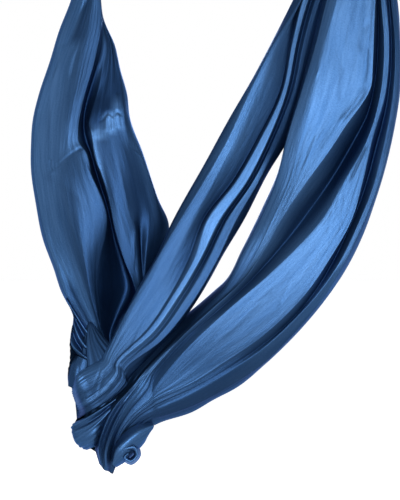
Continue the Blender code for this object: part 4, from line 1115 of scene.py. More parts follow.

# Each fold's dark entries give its painted shade down the arm.
INNER_FOLDS = (
    HiddenFold("first hem", 205.0, 0.22, 0.00, 0.45),
    HiddenFold("inner run, right", 120.0, 0.80, 0.15, 0.50),
    HiddenFold("inner run, left", 215.0, 0.18, 0.35, 0.60),
    HiddenFold("inner turn at the right", 130.0, 0.88, 0.50, 0.70),
    HiddenFold("back, right", 150.0, 0.80, 0.92, 0.80),
    HiddenFold("back, middle valley", 170.0, 0.55, 0.66, 0.85),
    HiddenFold("back, left", 200.0, 0.24, 0.96),
    Fold("left edge", 190.0, dark=((0.2, 0.6), (0.5, 0.6), (0.7, 0.2), (0.8, 0.0)), marks=(
        (325, -63, 2), (293, 0, -10), (270, 46, -20), (254, 76, -26), (230, 117, -30), (206, 161, -34),
        (171, 224, -38), (154, 261, -40), (138, 288, -44), (121, 322, -46), (106, 350, -42),
    ), wrap=((100, 360, -38), (92, 365, -38), (83, 370, -34), (76, 376, -33), (74, 383, 10))),
    Fold("left side of the soft panel", 178.0, soft=0.5, marks=(
        (327, -63, -16), (300, 0, -26), (273, 44, -38), (250, 90, -43), (227, 140, -48),
        (204, 180, -51), (172, 232, -54), (142, 285, -56), (123, 319, -56), (109, 349, -52),
    ), wrap=((102, 363, -48), (94, 369, -47), (84, 374, -43), (76, 381, -40), (72, 388, 6)),
        dark=((0.24, 0.5), (0.34, 0.3), (0.40, 0.0), (0.53, 0.0), (0.6, 0.35), (0.70, 0.5), (0.86, 0.4),
              (0.95, 0.1))),
    Fold("right side of the soft panel", 168.0, soft=0.5, marks=(
        (330, -63, -16), (302, 0, -26), (278, 44, -38), (257, 90, -43), (235, 140, -48),
        (215, 180, -51), (187, 232, -54), (158, 285, -57), (134, 321, -58), (115, 351, -55),
    ), wrap=((107, 366, -54), (98, 374, -52), (87, 380, -48), (77, 387, -43), (72, 393, 4)),
        dark=((0.24, 0.5), (0.34, 0.3), (0.40, 0.0), (0.53, 0.0), (0.6, 0.4), (0.74, 0.5), (0.86, 0.45),
              (0.95, 0.1))),
    Fold("broad valley", 158.0, soft=0.1,
         dark=((0.2, 0.6), (0.4, 0.8), (0.6, 1.0), (0.72, 0.9), (0.8, 0.4)), marks=(
        (332, -63, -8), (301, 0, -18), (290, 40, -28), (280, 90, -34), (256, 140, -39),
        (233, 180, -42), (203, 220, -46), (189, 258, -52), (167, 300, -57), (146, 330, -58), (121, 354, -57),
    ), wrap=((111, 370, -53), (102, 379, -53), (91, 387, -50), (79, 394, -43), (74, 399, 4))),
    Fold("left side of the bright ridge", 151.0, soft=0.05,
         dark=((0.7, 0.0), (0.8, 0.4), (0.97, 0.3)), marks=(
        (334, -63, -24), (303, 0, -33), (293, 40, -38), (283, 90, -44), (260, 140, -49),
        (237, 180, -53), (207, 220, -56), (194, 258, -59), (170, 300, -61), (147, 332, -61), (121, 356, -60),
    ), wrap=((114, 374, -57), (105, 385, -56), (94, 394, -54), (82, 402, -49), (76, 405, 2))),
    Fold("right side of the bright ridge", 144.0, soft=0.05, marks=(
        (336, -63, -25), (308, 0, -34), (297, 40, -39), (287, 90, -45), (268, 140, -50),
        (248, 180, -54), (220, 220, -57), (201, 258, -60), (176, 300, -61), (151, 334, -61), (123, 358, -60),
    ), wrap=((116, 376, -57), (107, 387, -56), (96, 396, -55), (83, 404, -50), (77, 408, 2))),
    Fold("pleat valley", 136.0, soft=0.1, dark=((0.2, 0.7), (0.4, 1.0), (0.7, 1.0), (0.8, 0.6)), marks=(
        (338, -63, -12), (311, 0, -20), (300, 40, -26), (290, 90, -31), (271, 140, -37),
        (251, 180, -42), (224, 220, -47), (205, 258, -52), (180, 300, -56), (153, 337, -57), (125, 360, -57),
    ), wrap=((118, 378, -54), (109, 389, -55), (98, 398, -54), (85, 407, -48), (78, 411, 2))),
    Fold("left side of the second ridge", 128.0, soft=0.1, marks=(
        (341, -63, -16), (316, 0, -26), (305, 40, -30), (294, 90, -34), (273, 142, -41),
        (254, 180, -48), (227, 220, -53), (208, 259, -57), (183, 302, -60), (155, 339, -60), (127, 362, -58),
    ), wrap=((120, 380, -57), (111, 391, -58), (100, 400, -56), (86, 409, -50), (78, 413, 2)),
        dark=((0.24, 0.6), (0.5, 0.8), (0.545, 0.1), (0.6, 0.3), (0.76, 0.5))),
    Fold("right side of the second ridge", 120.0, soft=0.2, marks=(
        (342, -63, -15), (320, 0, -24), (308, 40, -28), (297, 90, -32), (277, 144, -39),
        (259, 181, -48), (236, 221, -54), (217, 261, -58), (190, 306, -60), (160, 342, -60), (130, 364, -57),
    ), wrap=((123, 383, -58), (114, 394, -59), (102, 403, -57), (87, 412, -50), (78, 416, 3)),
        dark=((0.24, 0.6), (0.5, 0.8), (0.545, 0.5), (0.74, 0.6), (0.8, 0.6))),
    Fold("slit edge", 108.0, dark=((0.2, 0.5), (0.46, 0.9), (0.7, 0.7), (0.9, 0.9)), marks=(
        (344, -63, -4), (330, 0, -8), (318, 40, -12), (304, 90, -16), (287, 142, -20), (268, 173, -24),
        (244, 220, -32), (220, 260, -38), (212, 275, -39), (180, 324, -42), (150, 356, -43), (131, 376, -44),
    ), wrap=((127, 386, -50), (116, 396, -50), (102, 405, -48), (86, 414, -40), (77, 419, 6))),
    HiddenFold("second hem", 120.0, 0.80, 0.05, 0.6),
)

OUTER_DEPTHS = (
    (0.00, 0.000, 0.016), (0.10, -0.002, 0.024), (0.30, -0.004, 0.036), (0.50, -0.010, 0.048),
    (0.65, -0.012, 0.050), (0.80, -0.010, 0.044), (0.90, -0.008, 0.040), (1.00, -0.016, 0.026),
    (1.08, -0.022, 0.014), (1.16, -0.006, 0.006),
)

# Each fold's dark entries give its painted shade down the arm.
OUTER_FOLDS = (
    HiddenFold("first hem", 250.0, 0.80, 0.00, 0.35),
    HiddenFold("first inner run, left", 120.0, 0.20, 0.00, 0.45),
    HiddenFold("second inner run, right", 340.0, 0.84, 0.20, 0.55),
    HiddenFold("third inner run, left", 200.0, 0.16, 0.42, 0.65),
    HiddenFold("inner turn at the right", 320.0, 0.90, 0.60, 0.85),
    HiddenFold("back, right", 300.0, 0.86, 0.80),
    HiddenFold("back, right valley", 285.0, 0.70, 0.66),
    HiddenFold("back, middle", 265.0, 0.52, 1.00),
    HiddenFold("back, left valley", 245.0, 0.34, 0.70),
    HiddenFold("back, left", 220.0, 0.14, 0.84),
    Fold("slit edge", 112.0, dark=((0.2, 0.5), (0.5, 0.2), (0.7, 0.5), (0.9, 0.8)), marks=(
        (336, -63, 2), (320, 0, 0), (302, 76, -4), (288, 132, -8), (280, 168, -12), (262, 209, -12),
        (242, 250, -12), (226, 280, -12), (215, 290, -14), (194, 308, -14), (176, 322, -16), (145, 348, -18),
    ), wrap=((118, 386, -26), (107, 404, -30), (97, 425, -28), (95, 447, -20), (99, 463, -6))),
    Fold("left side of the teal strip", 104.0, soft=0.3, marks=(
        (345, -63, -24), (327, 0, -36), (317, 40, -38), (302, 90, -41), (287, 138, -42), (277, 178, -43),
        (261, 218, -43), (243, 252, -43), (224, 287, -42), (199, 312, -40), (170, 342, -38), (146, 367, -38),
    ), wrap=((125, 391, -40), (111, 405, -42), (100, 426, -40), (97, 448, -30), (100, 465, -12)),
        dark=((0.2, 0.2), (0.5, 0.0), (0.62, 0.2), (0.74, 0.7), (0.95, 0.6))),
    Fold("left side of the bright panel", 96.0, soft=0.3, marks=(
        (352, -63, -38), (337, 0, -44), (326, 40, -46), (313, 90, -49), (299, 140, -50),
        (289, 180, -51), (272, 220, -53), (258, 249, -49), (236, 284, -47), (207, 312, -49), (174, 342, -52),
        (149, 367, -53),
    ), wrap=((130, 390, -56), (116, 406, -60), (105, 427, -60), (99, 448, -50), (102, 467, -24)),
        dark=((0.64, 0.0), (0.72, 0.6), (0.85, 0.4), (0.95, 0.0))),
    Fold("bright panel", 86.0, (
        (362, -63, -42), (356, 0, -46), (349, 40, -48), (341, 80, -51), (329, 118, -53), (311, 150, -54),
        (298, 180, -55), (278, 220, -56), (263, 248, -52), (240, 283, -50), (210, 310, -52), (178, 340, -55),
        (153, 366, -57),
    ), wrap=((133, 390, -52), (119, 408, -50), (108, 429, -46), (102, 450, -38), (104, 470, -18)),
        dark=((0.66, 0.0), (0.74, 0.6), (0.85, 0.4), (0.95, 0.0))),
    Fold("right side of the bright panel", 76.0, soft=0.05, marks=(
        (372, -63, -43), (375, 0, -47), (374, 30, -49), (373, 60, -51), (370, 90, -53), (362, 104, -54),
        (347, 124, -56), (330, 150, -58), (308, 180, -58), (281, 220, -58), (266, 247, -54), (243, 280, -53),
        (214, 307, -55), (181, 338, -57), (156, 366, -56),
    ), wrap=((139, 388, -58), (125, 408, -63), (114, 430, -63), (107, 451, -53), (107, 471, -26))),
    Fold("deep valley", 66.0, soft=0.4,
         dark=((0.2, 1.0), (0.7, 1.0), (0.85, 0.8), (1.0, 0.6), (1.1, 0.8)), marks=(
        (374, -63, -22), (378, 0, -26), (378, 40, -28), (375, 80, -28), (368, 112, -26), (352, 144, -24),
        (332, 178, -27), (308, 212, -32), (279, 249, -38), (251, 280, -43), (222, 307, -48), (188, 336, -52),
        (157, 370, -50),
    ), wrap=((145, 394, -54), (130, 411, -54), (117, 432, -50), (111, 452, -36), (110, 472, -12))),
    Fold("second bright ridge", 52.0, soft=0.2, marks=(
        (377, -63, -33), (381, 0, -38), (384, 40, -40), (381, 90, -42), (367, 140, -44),
        (345, 180, -46), (323, 219, -49), (285, 260, -52), (262, 281, -54), (236, 303, -55),
        (202, 334, -58), (175, 362, -59), (157, 385, -56),
    ), wrap=((149, 400, -54), (133, 414, -53), (119, 433, -46), (113, 452, -30), (111, 472, -8)),
        dark=((0.58, 0.0), (0.7, 0.2), (0.8, 0.3), (0.86, 0.5), (0.96, 0.45), (1.0, 0.1))),
    Fold("right side of the second panel", 44.0, soft=0.1, marks=(
        (381, -63, -34), (386, 0, -39), (389, 40, -41), (386, 90, -43), (372, 140, -45),
        (363, 180, -47), (352, 219, -50), (329, 260, -53), (311, 287, -54), (286, 315, -52),
        (257, 340, -50), (224, 362, -50), (187, 385, -51), (160, 397, -51),
    ), wrap=((151, 404, -50), (135, 416, -46), (121, 434, -36), (115, 453, -22), (112, 472, -5)),
        dark=((0.58, 0.0), (0.7, 0.2), (0.8, 0.3), (0.86, 0.35), (0.92, 0.1), (1.0, 0.2))),
    Fold("outer dark valley", 34.0, soft=0.3, dark=((0.2, 0.6), (0.4, 0.9), (0.8, 1.0), (0.95, 0.4)), marks=(
        (383, -63, -6), (388, 0, -14), (391, 40, -18), (389, 85, -20), (384, 116, -20), (376, 146, -20),
        (367, 180, -21), (355, 214, -24), (343, 241, -27), (332, 263, -30), (313, 294, -34), (289, 322, -38),
        (261, 346, -41), (230, 367, -45), (190, 390, -47), (161, 403, -46),
    ), wrap=((152, 408, -44), (137, 418, -40), (123, 435, -28), (117, 454, -16), (113, 473, -2))),
    Fold("outer bright ridge", 22.0, soft=0.3, marks=(
        (384, -63, -10), (391, 0, -18), (395, 40, -23), (394, 90, -26), (384, 146, -28), (372, 190, -31),
        (355, 231, -36), (340, 262, -39), (319, 293, -38), (293, 321, -42), (265, 347, -45), (232, 370, -47),
        (192, 394, -48), (162, 408, -47),
    ), wrap=((153, 413, -42), (139, 422, -36), (125, 437, -24), (118, 455, -12), (113, 474, 0)),
        dark=((0.2, 0.3), (0.5, 0.3), (0.6, 0.1), (0.7, 0.0), (0.85, 0.4), (0.95, 0.5))),
    Fold("low dark fold", 10.0, soft=0.4, marks=(
        (385, -63, -8), (395, 0, -14), (399, 40, -19), (398, 90, -23), (389, 146, -26), (377, 190, -31),
        (360, 231, -36), (343, 266, -37), (319, 304, -22), (288, 340, -25), (258, 368, -27), (228, 387, -28),
        (192, 406, -31), (163, 416, -33),
    ), wrap=((154, 418, -34), (141, 426, -30), (127, 440, -18), (119, 456, -8), (113, 474, 3)),
        dark=((0.2, 0.3), (0.5, 0.3), (0.6, 0.1), (0.66, 0.0), (0.75, 0.3), (0.9, 0.6))),
    Fold("right edge", 0.0, (
        (377, -88, 4), (387, -46, 6), (397, 0, 6), (400, 45, 4), (400, 88, 2), (394, 128, 0), (385, 167, 0),
        (375, 200, 0), (364, 232, 0), (347, 267, -2), (325, 300, -4), (298, 332, -6), (265, 364, -7),
        (236, 388, -8), (213, 400, -10), (190, 413, -12), (164, 421, -14),
    ), wrap=((155, 425, -16), (143, 430, -16), (129, 443, -10), (120, 457, -2), (113, 474, 6))),
    HiddenFold("second hem", 350.0, 0.86, -0.10, 0.7),
)


@dataclass(frozen=True)
class KnotTurn:
    """A turn of cloth in the low knot, drawn smoothly through lines that run along it."""

    name: str
    lines: tuple[tuple[Mark, ...], ...]
    flat: tuple[float, float]
    rests_on: tuple[str, ...]
    stands_for: tuple[str, ...] = ()
    pleat_count: float = 6.0
    pleat_depth: float = 0.0010
    seed: int = 1
    rows: int = 70
    column: float = 0.0022
    # An even painted shade over the whole turn, from 0 to 1.
    dark: float = 0.0

    def grid(self) -> np.ndarray:
        """Draws the turn's points, as rows along it by columns across it."""
        at = np.linspace(0.0, 1.0, self.rows)
        drawn = []
        for line in self.lines:
            points = np.array([SIGHT.place(mark) for mark in line])
            gone = np.concatenate(([0.0], np.cumsum(np.linalg.norm(np.diff(points, axis=0), axis=1))))
            drawn.append(smooth_through(gone / gone[-1], points, at))
        folds = np.stack(drawn, axis=1)
        wide = np.quantile(np.linalg.norm(np.diff(folds, axis=1), axis=2), USUAL_WIDTH, axis=0)
        return smooth_across(folds, [max(3, round(float(step) / self.column)) for step in wide])

    def pleated(self, points: np.ndarray) -> np.ndarray:
        """Adds fine pleats that run along the turn.

        Args:
            points: The turn's points.

        Returns:
            The pleated points.
        """
        draw = np.random.default_rng(self.seed)
        s, v = np.meshgrid(np.linspace(0, 1, points.shape[1]), np.linspace(0, 1, points.shape[0]))
        total = np.zeros_like(s)
        for part in range(3):
            count = self.pleat_count * draw.uniform(0.6, 1.6)
            bend = 0.3 * np.sin(math.pi * (v * draw.uniform(0.7, 1.8) + draw.uniform()))
            total += np.sin(2 * math.pi * (count * s + bend + draw.uniform())) / (1 + part * 0.5)
        return points + facing(points) * (total * self.pleat_depth * KNOT_PLEATS)[:, :, None]

    def build(self, finish: bpy.types.Material) -> bpy.types.Object:
        """Args:
            finish: Its material.

        Returns:
            The finished piece.
        """
        # The turn's painted shade: its own even level, and its fold depth at the knot's weaker share.
        made = cloth_piece(self.name, self.pleated(self.grid()), finish, self.dark, KNOT_SHADE)
        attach(made, "hammock")
        if self.stands_for:
            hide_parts(*self.stands_for)
        return made


KNOT_TURNS = (
    KnotTurn(
        name="knot_collar", flat=(0.14, 0.12), rests_on=("left_hanging_cloth",), stands_for=("knot_ruffle",),
        pleat_count=7.0, pleat_depth=0.0008, seed=3,
        lines=(
            ((68, 298, 26), (80, 318, 30), (93, 336, 28), (107, 350, 10)),
            ((66, 299, 4), (76, 315, 2), (89, 334, 0), (105, 349, -10)),
            ((69, 306, 8), (76, 321, 9), (88, 341, 8), (104, 354, 0)),
            ((73, 313, 0), (75, 328, -6), (84, 345, -10), (102, 358, -14)),
            ((73, 322, 8), (74, 336, 7), (82, 350, 5), (100, 361, -4)),
            ((71, 332, 2), (71, 343, -5), (79, 352, -14), (97, 364, -18)),
            ((71, 340, 16), (74, 349, 12), (81, 358, 4), (95, 368, -6)),
            ((78, 340, 34), (82, 350, 34), (88, 360, 26), (98, 368, 10)),
        ),
    ),
    KnotTurn(
        name="knot_left_bump", flat=(0.09, 0.085), rests_on=("knot_collar",),
        # An even painted shade of 0.55 over the whole bump, for the shadow it lies in.
        pleat_count=5.0, pleat_depth=0.0009, seed=5, rows=50, dark=0.55,
        lines=(
            ((78, 354, 30), (76, 364, 32), (74, 376, 30), (76, 390, 24)),
            ((76, 355, 8), (70, 364, 6), (68, 374, 4), (68, 386, 6)),
            ((80, 357, -10), (76, 366, -14), (74, 376, -16), (73, 388, -10)),
            ((86, 360, -14), (83, 369, -17), (80, 378, -19), (78, 389, -16)),
            ((92, 362, -12), (90, 371, -16), (87, 381, -20), (84, 391, -18)),
            ((99, 364, -8), (98, 374, -12), (95, 384, -16), (92, 393, -14)),
        ),
    ),
    KnotTurn(
        name="knot_low_turn", flat=(0.10, 0.11), rests_on=("right_outer_cloth",),
        stands_for=("knot_under_bulge",),
        pleat_count=6.0, pleat_depth=0.0014, seed=7,
        lines=(
            ((119, 394, -34), (101, 407, -38), (86, 417, -34), (75, 422, -26), (77, 424, 20)),
            ((116, 399, -52), (99, 411, -54), (84, 420, -48), (73, 425, -38), (76, 427, 20)),
            ((113, 404, -42), (98, 416, -46), (84, 424, -44), (73, 429, -35), (76, 430, 20)),
            ((111, 409, -54), (97, 421, -56), (84, 429, -52), (74, 434, -42), (77, 434, 18)),
            ((107, 418, -46), (95, 428, -58), (85, 435, -55), (76, 440, -44), (79, 439, 16)),
            ((103, 428, -32), (96, 436, -50), (88, 442, -46), (80, 446, -34), (83, 444, 14)),
            ((100, 440, -16), (95, 446, -28), (90, 449, -22), (86, 450, -6), (88, 447, 14)),
        ),
    ),
    KnotTurn(
        name="knot_right_roll", flat=(0.10, 0.10), rests_on=("right_outer_cloth",),
        stands_for=("knot_right_curl",),
        pleat_count=3.0, pleat_depth=0.0004, seed=9,
        lines=(
            ((152, 421, -22), (138, 424, -34), (125, 432, -38), (115, 444, -34), (111, 458, -20)),
            ((154, 426, -30), (142, 431, -46), (128, 440, -54), (116, 451, -52), (112, 462, -34)),
            ((152, 430, -22), (146, 438, -36), (134, 446, -46), (121, 458, -48), (114, 466, -30)),
            ((148, 430, -4), (145, 442, -18), (136, 452, -24), (125, 462, -28), (117, 467, -16)),
            ((143, 428, 14), (140, 440, 8), (132, 453, 4), (123, 461, 0), (115, 468, -2)),
        ),
    ),
    KnotTurn(
        name="knot_curl_end", flat=(0.10, 0.05), rests_on=("knot_right_roll",),
        pleat_count=1.0, pleat_depth=0.0002, seed=19, rows=120, column=0.0018,
        lines=(
            ((122, 447, -20), (137, 444, -18), (141, 455, -16), (131, 465, -14), (122, 459, -16),
             (127, 451, -20)),
            ((123, 448, -44), (136, 446, -42), (139, 455, -40), (130, 463, -38), (123, 458, -40),
             (128, 452, -40)),
            ((123, 449, -54), (135, 447, -53), (138, 455, -52), (130, 462, -52), (124, 457, -52),
             (128, 453, -52)),
            ((125, 450, -53), (134, 449, -52), (136, 455, -51), (130, 460, -51), (126, 457, -51),
             (129, 454, -51)),
            ((127, 452, -38), (132, 451, -36), (134, 455, -34), (130, 458, -34), (128, 456, -34),
             (129, 455, -34)),
        ),
    ),
    KnotTurn(
        name="knot_back_upper_turn", flat=(0.16, 0.21), rests_on=("left_hanging_cloth",),
        stands_for=("knot_back_turn",), pleat_count=8.0, pleat_depth=0.0012, seed=13, rows=90,
        lines=(
            ((74, 326, -2), (82, 330, 36), (104, 344, 50), (130, 366, 40), (150, 392, 0)),
            ((70, 340, 0), (80, 344, 44), (102, 356, 60), (130, 376, 48), (152, 400, 2)),
            ((70, 358, 0), (79, 360, 46), (101, 370, 62), (129, 387, 50), (153, 409, 4)),
            ((68, 376, 0), (78, 378, 46), (99, 386, 60), (127, 399, 46), (152, 417, 4)),
            ((74, 391, -2), (82, 394, 36), (99, 398, 48), (124, 408, 36), (148, 422, 0)),
        ),
    ),
    KnotTurn(
        name="knot_back_lower_turn", flat=(0.12, 0.18), rests_on=("knot_back_upper_turn",),
        pleat_count=7.0, pleat_depth=0.0010, seed=17, rows=80,
        lines=(
            ((79, 397, 0), (87, 399, 38), (102, 404, 46), (124, 414, 36), (146, 424, -4)),
            ((82, 411, 2), (89, 413, 44), (103, 418, 52), (122, 427, 40), (144, 432, -2)),
            ((74, 424, 2), (84, 426, 42), (101, 431, 48), (119, 438, 36), (140, 444, -2)),
            ((77, 438, 0), (87, 439, 32), (101, 444, 36), (116, 450, 26), (134, 456, -2)),
            ((86, 446, 0), (93, 450, 14), (102, 456, 16), (112, 460, 12), (122, 462, -2)),
        ),
    ),
)


@dataclass(frozen=True)
class KnotHeart:
    """The cloth packed inside the low knot, which fills it so that no light passes through; its colour
    carries an even painted shade.
    """

    sections: tuple[tuple[float, float, float, float, float], ...] = (
        (322, 84, 96, 2, 22), (340, 82, 108, -14, 34), (358, 80, 126, -26, 42), (376, 78, 140, -34, 46),
        (394, 82, 146, -34, 46), (410, 86, 144, -34, 42), (424, 84, 136, -32, 36), (438, 88, 126, -30, 28),
        (452, 98, 120, -22, 16), (464, 104, 115, -12, 6),
    )
    around: int = 96
    down: int = 90
    pleats: int = 15
    pleat_depth: float = 0.0016
    radius: float = 0.03
    twist: float = 0.05
    fullness: float = 6.0
    # The even painted shade of the packed cloth.
    dark: float = 0.5

    def build(self, finish: bpy.types.Material) -> bpy.types.Object:
        """Args:
            finish: Its material.

        Returns:
            The finished piece.
        """
        table = np.array(self.sections, float)
        at = np.linspace(0.0, 1.0, self.down)
        rows = smooth_through(np.linspace(0.0, 1.0, len(table)), table, at)
        turn = np.linspace(0.0, 2 * math.pi, self.around, endpoint=False)
        ends = np.sqrt(np.clip(1.0 - np.abs(2 * at - 1.0) ** self.fullness, 0.0, 1.0))
        points = []
        for (py, left, right, near, far), end in zip(rows, ends):
            ridge = 1.0 + self.pleat_depth / self.radius * np.sin(self.pleats * turn + py * self.twist)
            px = (left + right) / 2 + (right - left) / 2 * np.cos(turn) * ridge * end
            depth = (near + far) / 2 - (far - near) / 2 * np.sin(turn) * ridge * end
            points.append([SIGHT.place((x, py, y)) for x, y in zip(px, depth)])
        made = rolled_piece("knot_heart", np.array(points), finish, dark=self.dark)
        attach(made, "hammock")
        return made


@dataclass(frozen=True)
class BraidedSling:
    """An endless braided rope: it hangs in the carabiner, passes the stopper knot and chokes the cloth."""

    side: Side
    rope: float = 0.009
    bar: float = 0.012
    metal_gap: float = 0.0003
    cloth_gap: float = 0.0006
    choked: float = 0.020
    turn_pitch: float = 0.0097
    spread_drop: float = 0.022
    beside_knot: float = 0.028
    lead_out: float = 0.007
    lead_height: float = 0.012
    strands: int = 10
    strand_pitch: float = 0.0046
    dent: float = 0.00055
    skin: float = 0.00005
    spread: float = 0.6
    first_turn: float = 0.02
    last_turn: tuple[tuple[float, float, float], ...] = (
        (2.70, 0.30, 1.34), (2.84, 0.78, 1.28), (2.93, 1.02, 1.02), (2.97, 1.10, 0.62),
    )
    around: int = 60
    step: float = 0.0007

    def marks(self) -> np.ndarray:
        """The points that the rope's middle passes through, as rows."""
        over = (self.bar + self.rope) / 2 + self.metal_gap
        past_knot = END_KNOT_RADIUS + self.cloth_gap + self.rope / 2
        choke = self.choked + self.cloth_gap + self.rope / 2
        outside = choke + self.rope + 2 * self.cloth_gap
        spread = over + (past_knot - over) * self.spread
        middle = (END_KNOT_TOP_Z + END_KNOT_LOW_Z) / 2
        beside = self.beside_knot / 2
        turns = np.radians(np.linspace(180.0, 0.0, 9))
        marks = [(over * math.cos(t), 0.0, LOW_BOW_Z + over * math.sin(t)) for t in turns]
        marks += [
            (spread, 0.0, LOW_BOW_Z - self.spread_drop), (past_knot, 0.0, middle + beside),
            (past_knot + self.cloth_gap, 0.0, middle), (past_knot, 0.0, middle - beside),
            (choke + self.lead_out, 0.0, CHOKE_Z + self.lead_height),
        ]
        winding = [(self.first_turn + eighth / 8, 0.0, eighth / 16) for eighth in range(1, 21)]
        for half_turns, outward, drop in winding + list(self.last_turn):
            radius = choke + (outside - choke) * outward
            turn = math.pi * half_turns
            marks.append((radius * math.cos(turn), radius * math.sin(turn), CHOKE_Z - self.turn_pitch * drop))
        marks += [
            (-outside - self.metal_gap, 0.0, CHOKE_Z + self.metal_gap),
            (-past_knot - self.cloth_gap, 0.0, middle - beside), (-past_knot - self.cloth_gap, 0.0, middle),
            (-past_knot, 0.0, middle + beside), (-spread, 0.0, LOW_BOW_Z - self.spread_drop),
        ]
        return np.array(marks) + np.array((self.side.x, 0.0, 0.0))

    def route(self) -> np.ndarray:
        """The rope's middle line, as a smooth loop of points a step apart."""
        marks = self.marks()
        steps = np.roll(marks, -1, axis=0) - marks
        spans = np.sqrt(np.linalg.norm(steps, axis=1))[:, None]
        before = np.roll(spans, 1, axis=0)
        slopes = (np.roll(steps, 1, axis=0) / before * spans + steps / spans * before) / (before + spans)
        points = []
        for i, (mark, step, span) in enumerate(zip(marks, steps, spans)):
            following = slopes[(i + 1) % len(marks)]
            parts = max(1, round(float(span[0]) ** 2 / self.step))
            for k in range(parts):
                t = k / parts
                points.append(
                    mark * (2 * t**3 - 3 * t**2 + 1) + slopes[i] * span * (t**3 - 2 * t**2 + t)
                    + (mark + step) * (3 * t**2 - 2 * t**3) + following * span * (t**3 - t**2)
                )
        return np.array(points)

    def build(self, finish: bpy.types.Material) -> bpy.types.Object:
        """Args:
            finish: Its material.

        Returns:
            The finished piece.
        """
        route = self.route()
        ahead = np.roll(route, -1, axis=0) - np.roll(route, 1, axis=0)
        ahead /= np.linalg.norm(ahead, axis=1, keepdims=True)
        outward = [np.array((0.0, 1.0, 0.0))]
        for way in np.concatenate((ahead[1:], ahead[:1])):
            kept = outward[-1] - (outward[-1] @ way) * way
            outward.append(kept / np.linalg.norm(kept))
        start, finish_way = outward[0], outward.pop()
        left_over = math.atan2(float(np.cross(start, finish_way) @ ahead[0]), float(start @ finish_way))
        outward = np.array(outward)
        other = np.cross(ahead, outward)
        share = np.arange(len(route)) / len(route)
        angle = np.linspace(0.0, 2 * math.pi, self.around, endpoint=False)[None, :]
        angle = angle - (left_over * share)[:, None]
        length = float(np.linalg.norm(np.diff(route, axis=0), axis=1).sum())
        rounds = round(length / self.strand_pitch / self.strands) * self.strands
        place = np.linspace(0.0, self.strands, self.around, endpoint=False)[None, :]
        along = (share * rounds)[:, None]
        rising, falling = place + along, place - along
        over = (np.floor(rising) + np.floor(falling)) % 2 < 1
        raised = np.where(over, np.abs(np.sin(math.pi * rising)), np.abs(np.sin(math.pi * falling)))
        radius = self.rope / 2 - self.skin - self.dent * (1.0 - raised**0.6)
        points = route[:, None] + radius[:, :, None] * (
            np.cos(angle)[:, :, None] * outward[:, None] + np.sin(angle)[:, :, None] * other[:, None]
        )
        # Painted shade, deepest between the raised strands.
        made = rolled_piece(f"{self.side.value}_braided_sling", points, finish, dark=1.0 - raised, loop=True)
        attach(made, "hammock")
        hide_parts(f"{self.side.value}_rope_sling")
        return made


@dataclass(frozen=True)
class StopperKnot:
    """The knot in the end of the gathered cloth: three tilted turns, with a strand that crosses over them."""

    side: Side
    neck: float = 0.014
    gathered: float = 0.0195
    turns: float = 2.7
    tilt: float = 0.17
    tilt_way: float = 0.6
    fullness: float = 2.2
    dent: float = 0.0052
    ends: float = 0.05
    turn_pleats: tuple[float, float] = (0.10, 6.5)
    strand: float = 0.40
    strand_ends: float = 0.12
    strand_pleats: tuple[float, float] = (0.08, 2.6)
    strand_groove: tuple[float, float, float] = (1.15, 0.16, 0.6)
    crossings: tuple[tuple[float, float], ...] = ((math.pi / 2, 1.7), (-math.pi / 2 + 0.3, -1.5))
    around: int = 220
    down: int = 130

    def build(self, finish: bpy.types.Material) -> bpy.types.Object:
        """Args:
            finish: Its material.

        Returns:
            The finished piece.
        """
        t, turn = np.meshgrid(
            np.linspace(0.0, 1.0, self.down), np.linspace(0.0, 2 * math.pi, self.around, endpoint=False),
            indexing="ij",
        )
        lift = np.cos(math.pi * t)
        neck = np.where(t < 0.5, self.neck, self.gathered)
        from_end = np.minimum(t, 1 - t)
        bulge = np.sqrt(np.clip(1.0 - np.abs(lift) ** self.fullness, 0.0, 1.0))
        full = neck + (END_KNOT_RADIUS - neck) * bulge
        phase = self.turns * t + self.tilt * np.cos(turn - self.tilt_way)
        dent = 1.0 - np.abs(np.sin(math.pi * phase)) ** 0.5
        depth, count = self.turn_pleats
        pleats = depth * (0.5 + 0.5 * np.sin(2 * math.pi * (phase * count + 0.12 * np.sin(3 * turn))))
        depth, count = self.strand_pleats
        groove, wide, deep = self.strand_groove
        begun = np.clip(from_end / self.strand_ends, 0.0, 1.0)
        for middle, slope in self.crossings:
            away = (turn - middle - slope * (t - 0.5) + math.pi) % (2 * math.pi) - math.pi
            off = away / self.strand
            over = np.exp(-(off**4)) * begun
            beside = np.exp(-(((np.abs(off) - groove) / wide) ** 2)) * begun
            dent = np.maximum(dent * (1.0 - over), deep * beside)
            pleats = pleats * (1.0 - over) + depth * over * (0.5 + 0.5 * np.sin(2 * math.pi * off * count))
        fade = np.clip(from_end / self.ends, 0.0, 1.0)
        radius = full - (dent + pleats) * self.dent * fade
        height = (END_KNOT_TOP_Z + END_KNOT_LOW_Z) / 2 + lift * (END_KNOT_TOP_Z - END_KNOT_LOW_Z) / 2
        points = np.stack(
            (self.side.x + radius * np.cos(turn), -radius * np.sin(turn), height), axis=2
        )
        # Painted shade in the dents between the knot's turns.
        dark = np.clip(dent, 0.0, 1.0) * 0.9
        made = rolled_piece(f"{self.side.value}_stopper_knot", points, finish, dark=dark)
        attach(made, "hammock")
        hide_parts(f"{self.side.value}_end_knot")
        return made


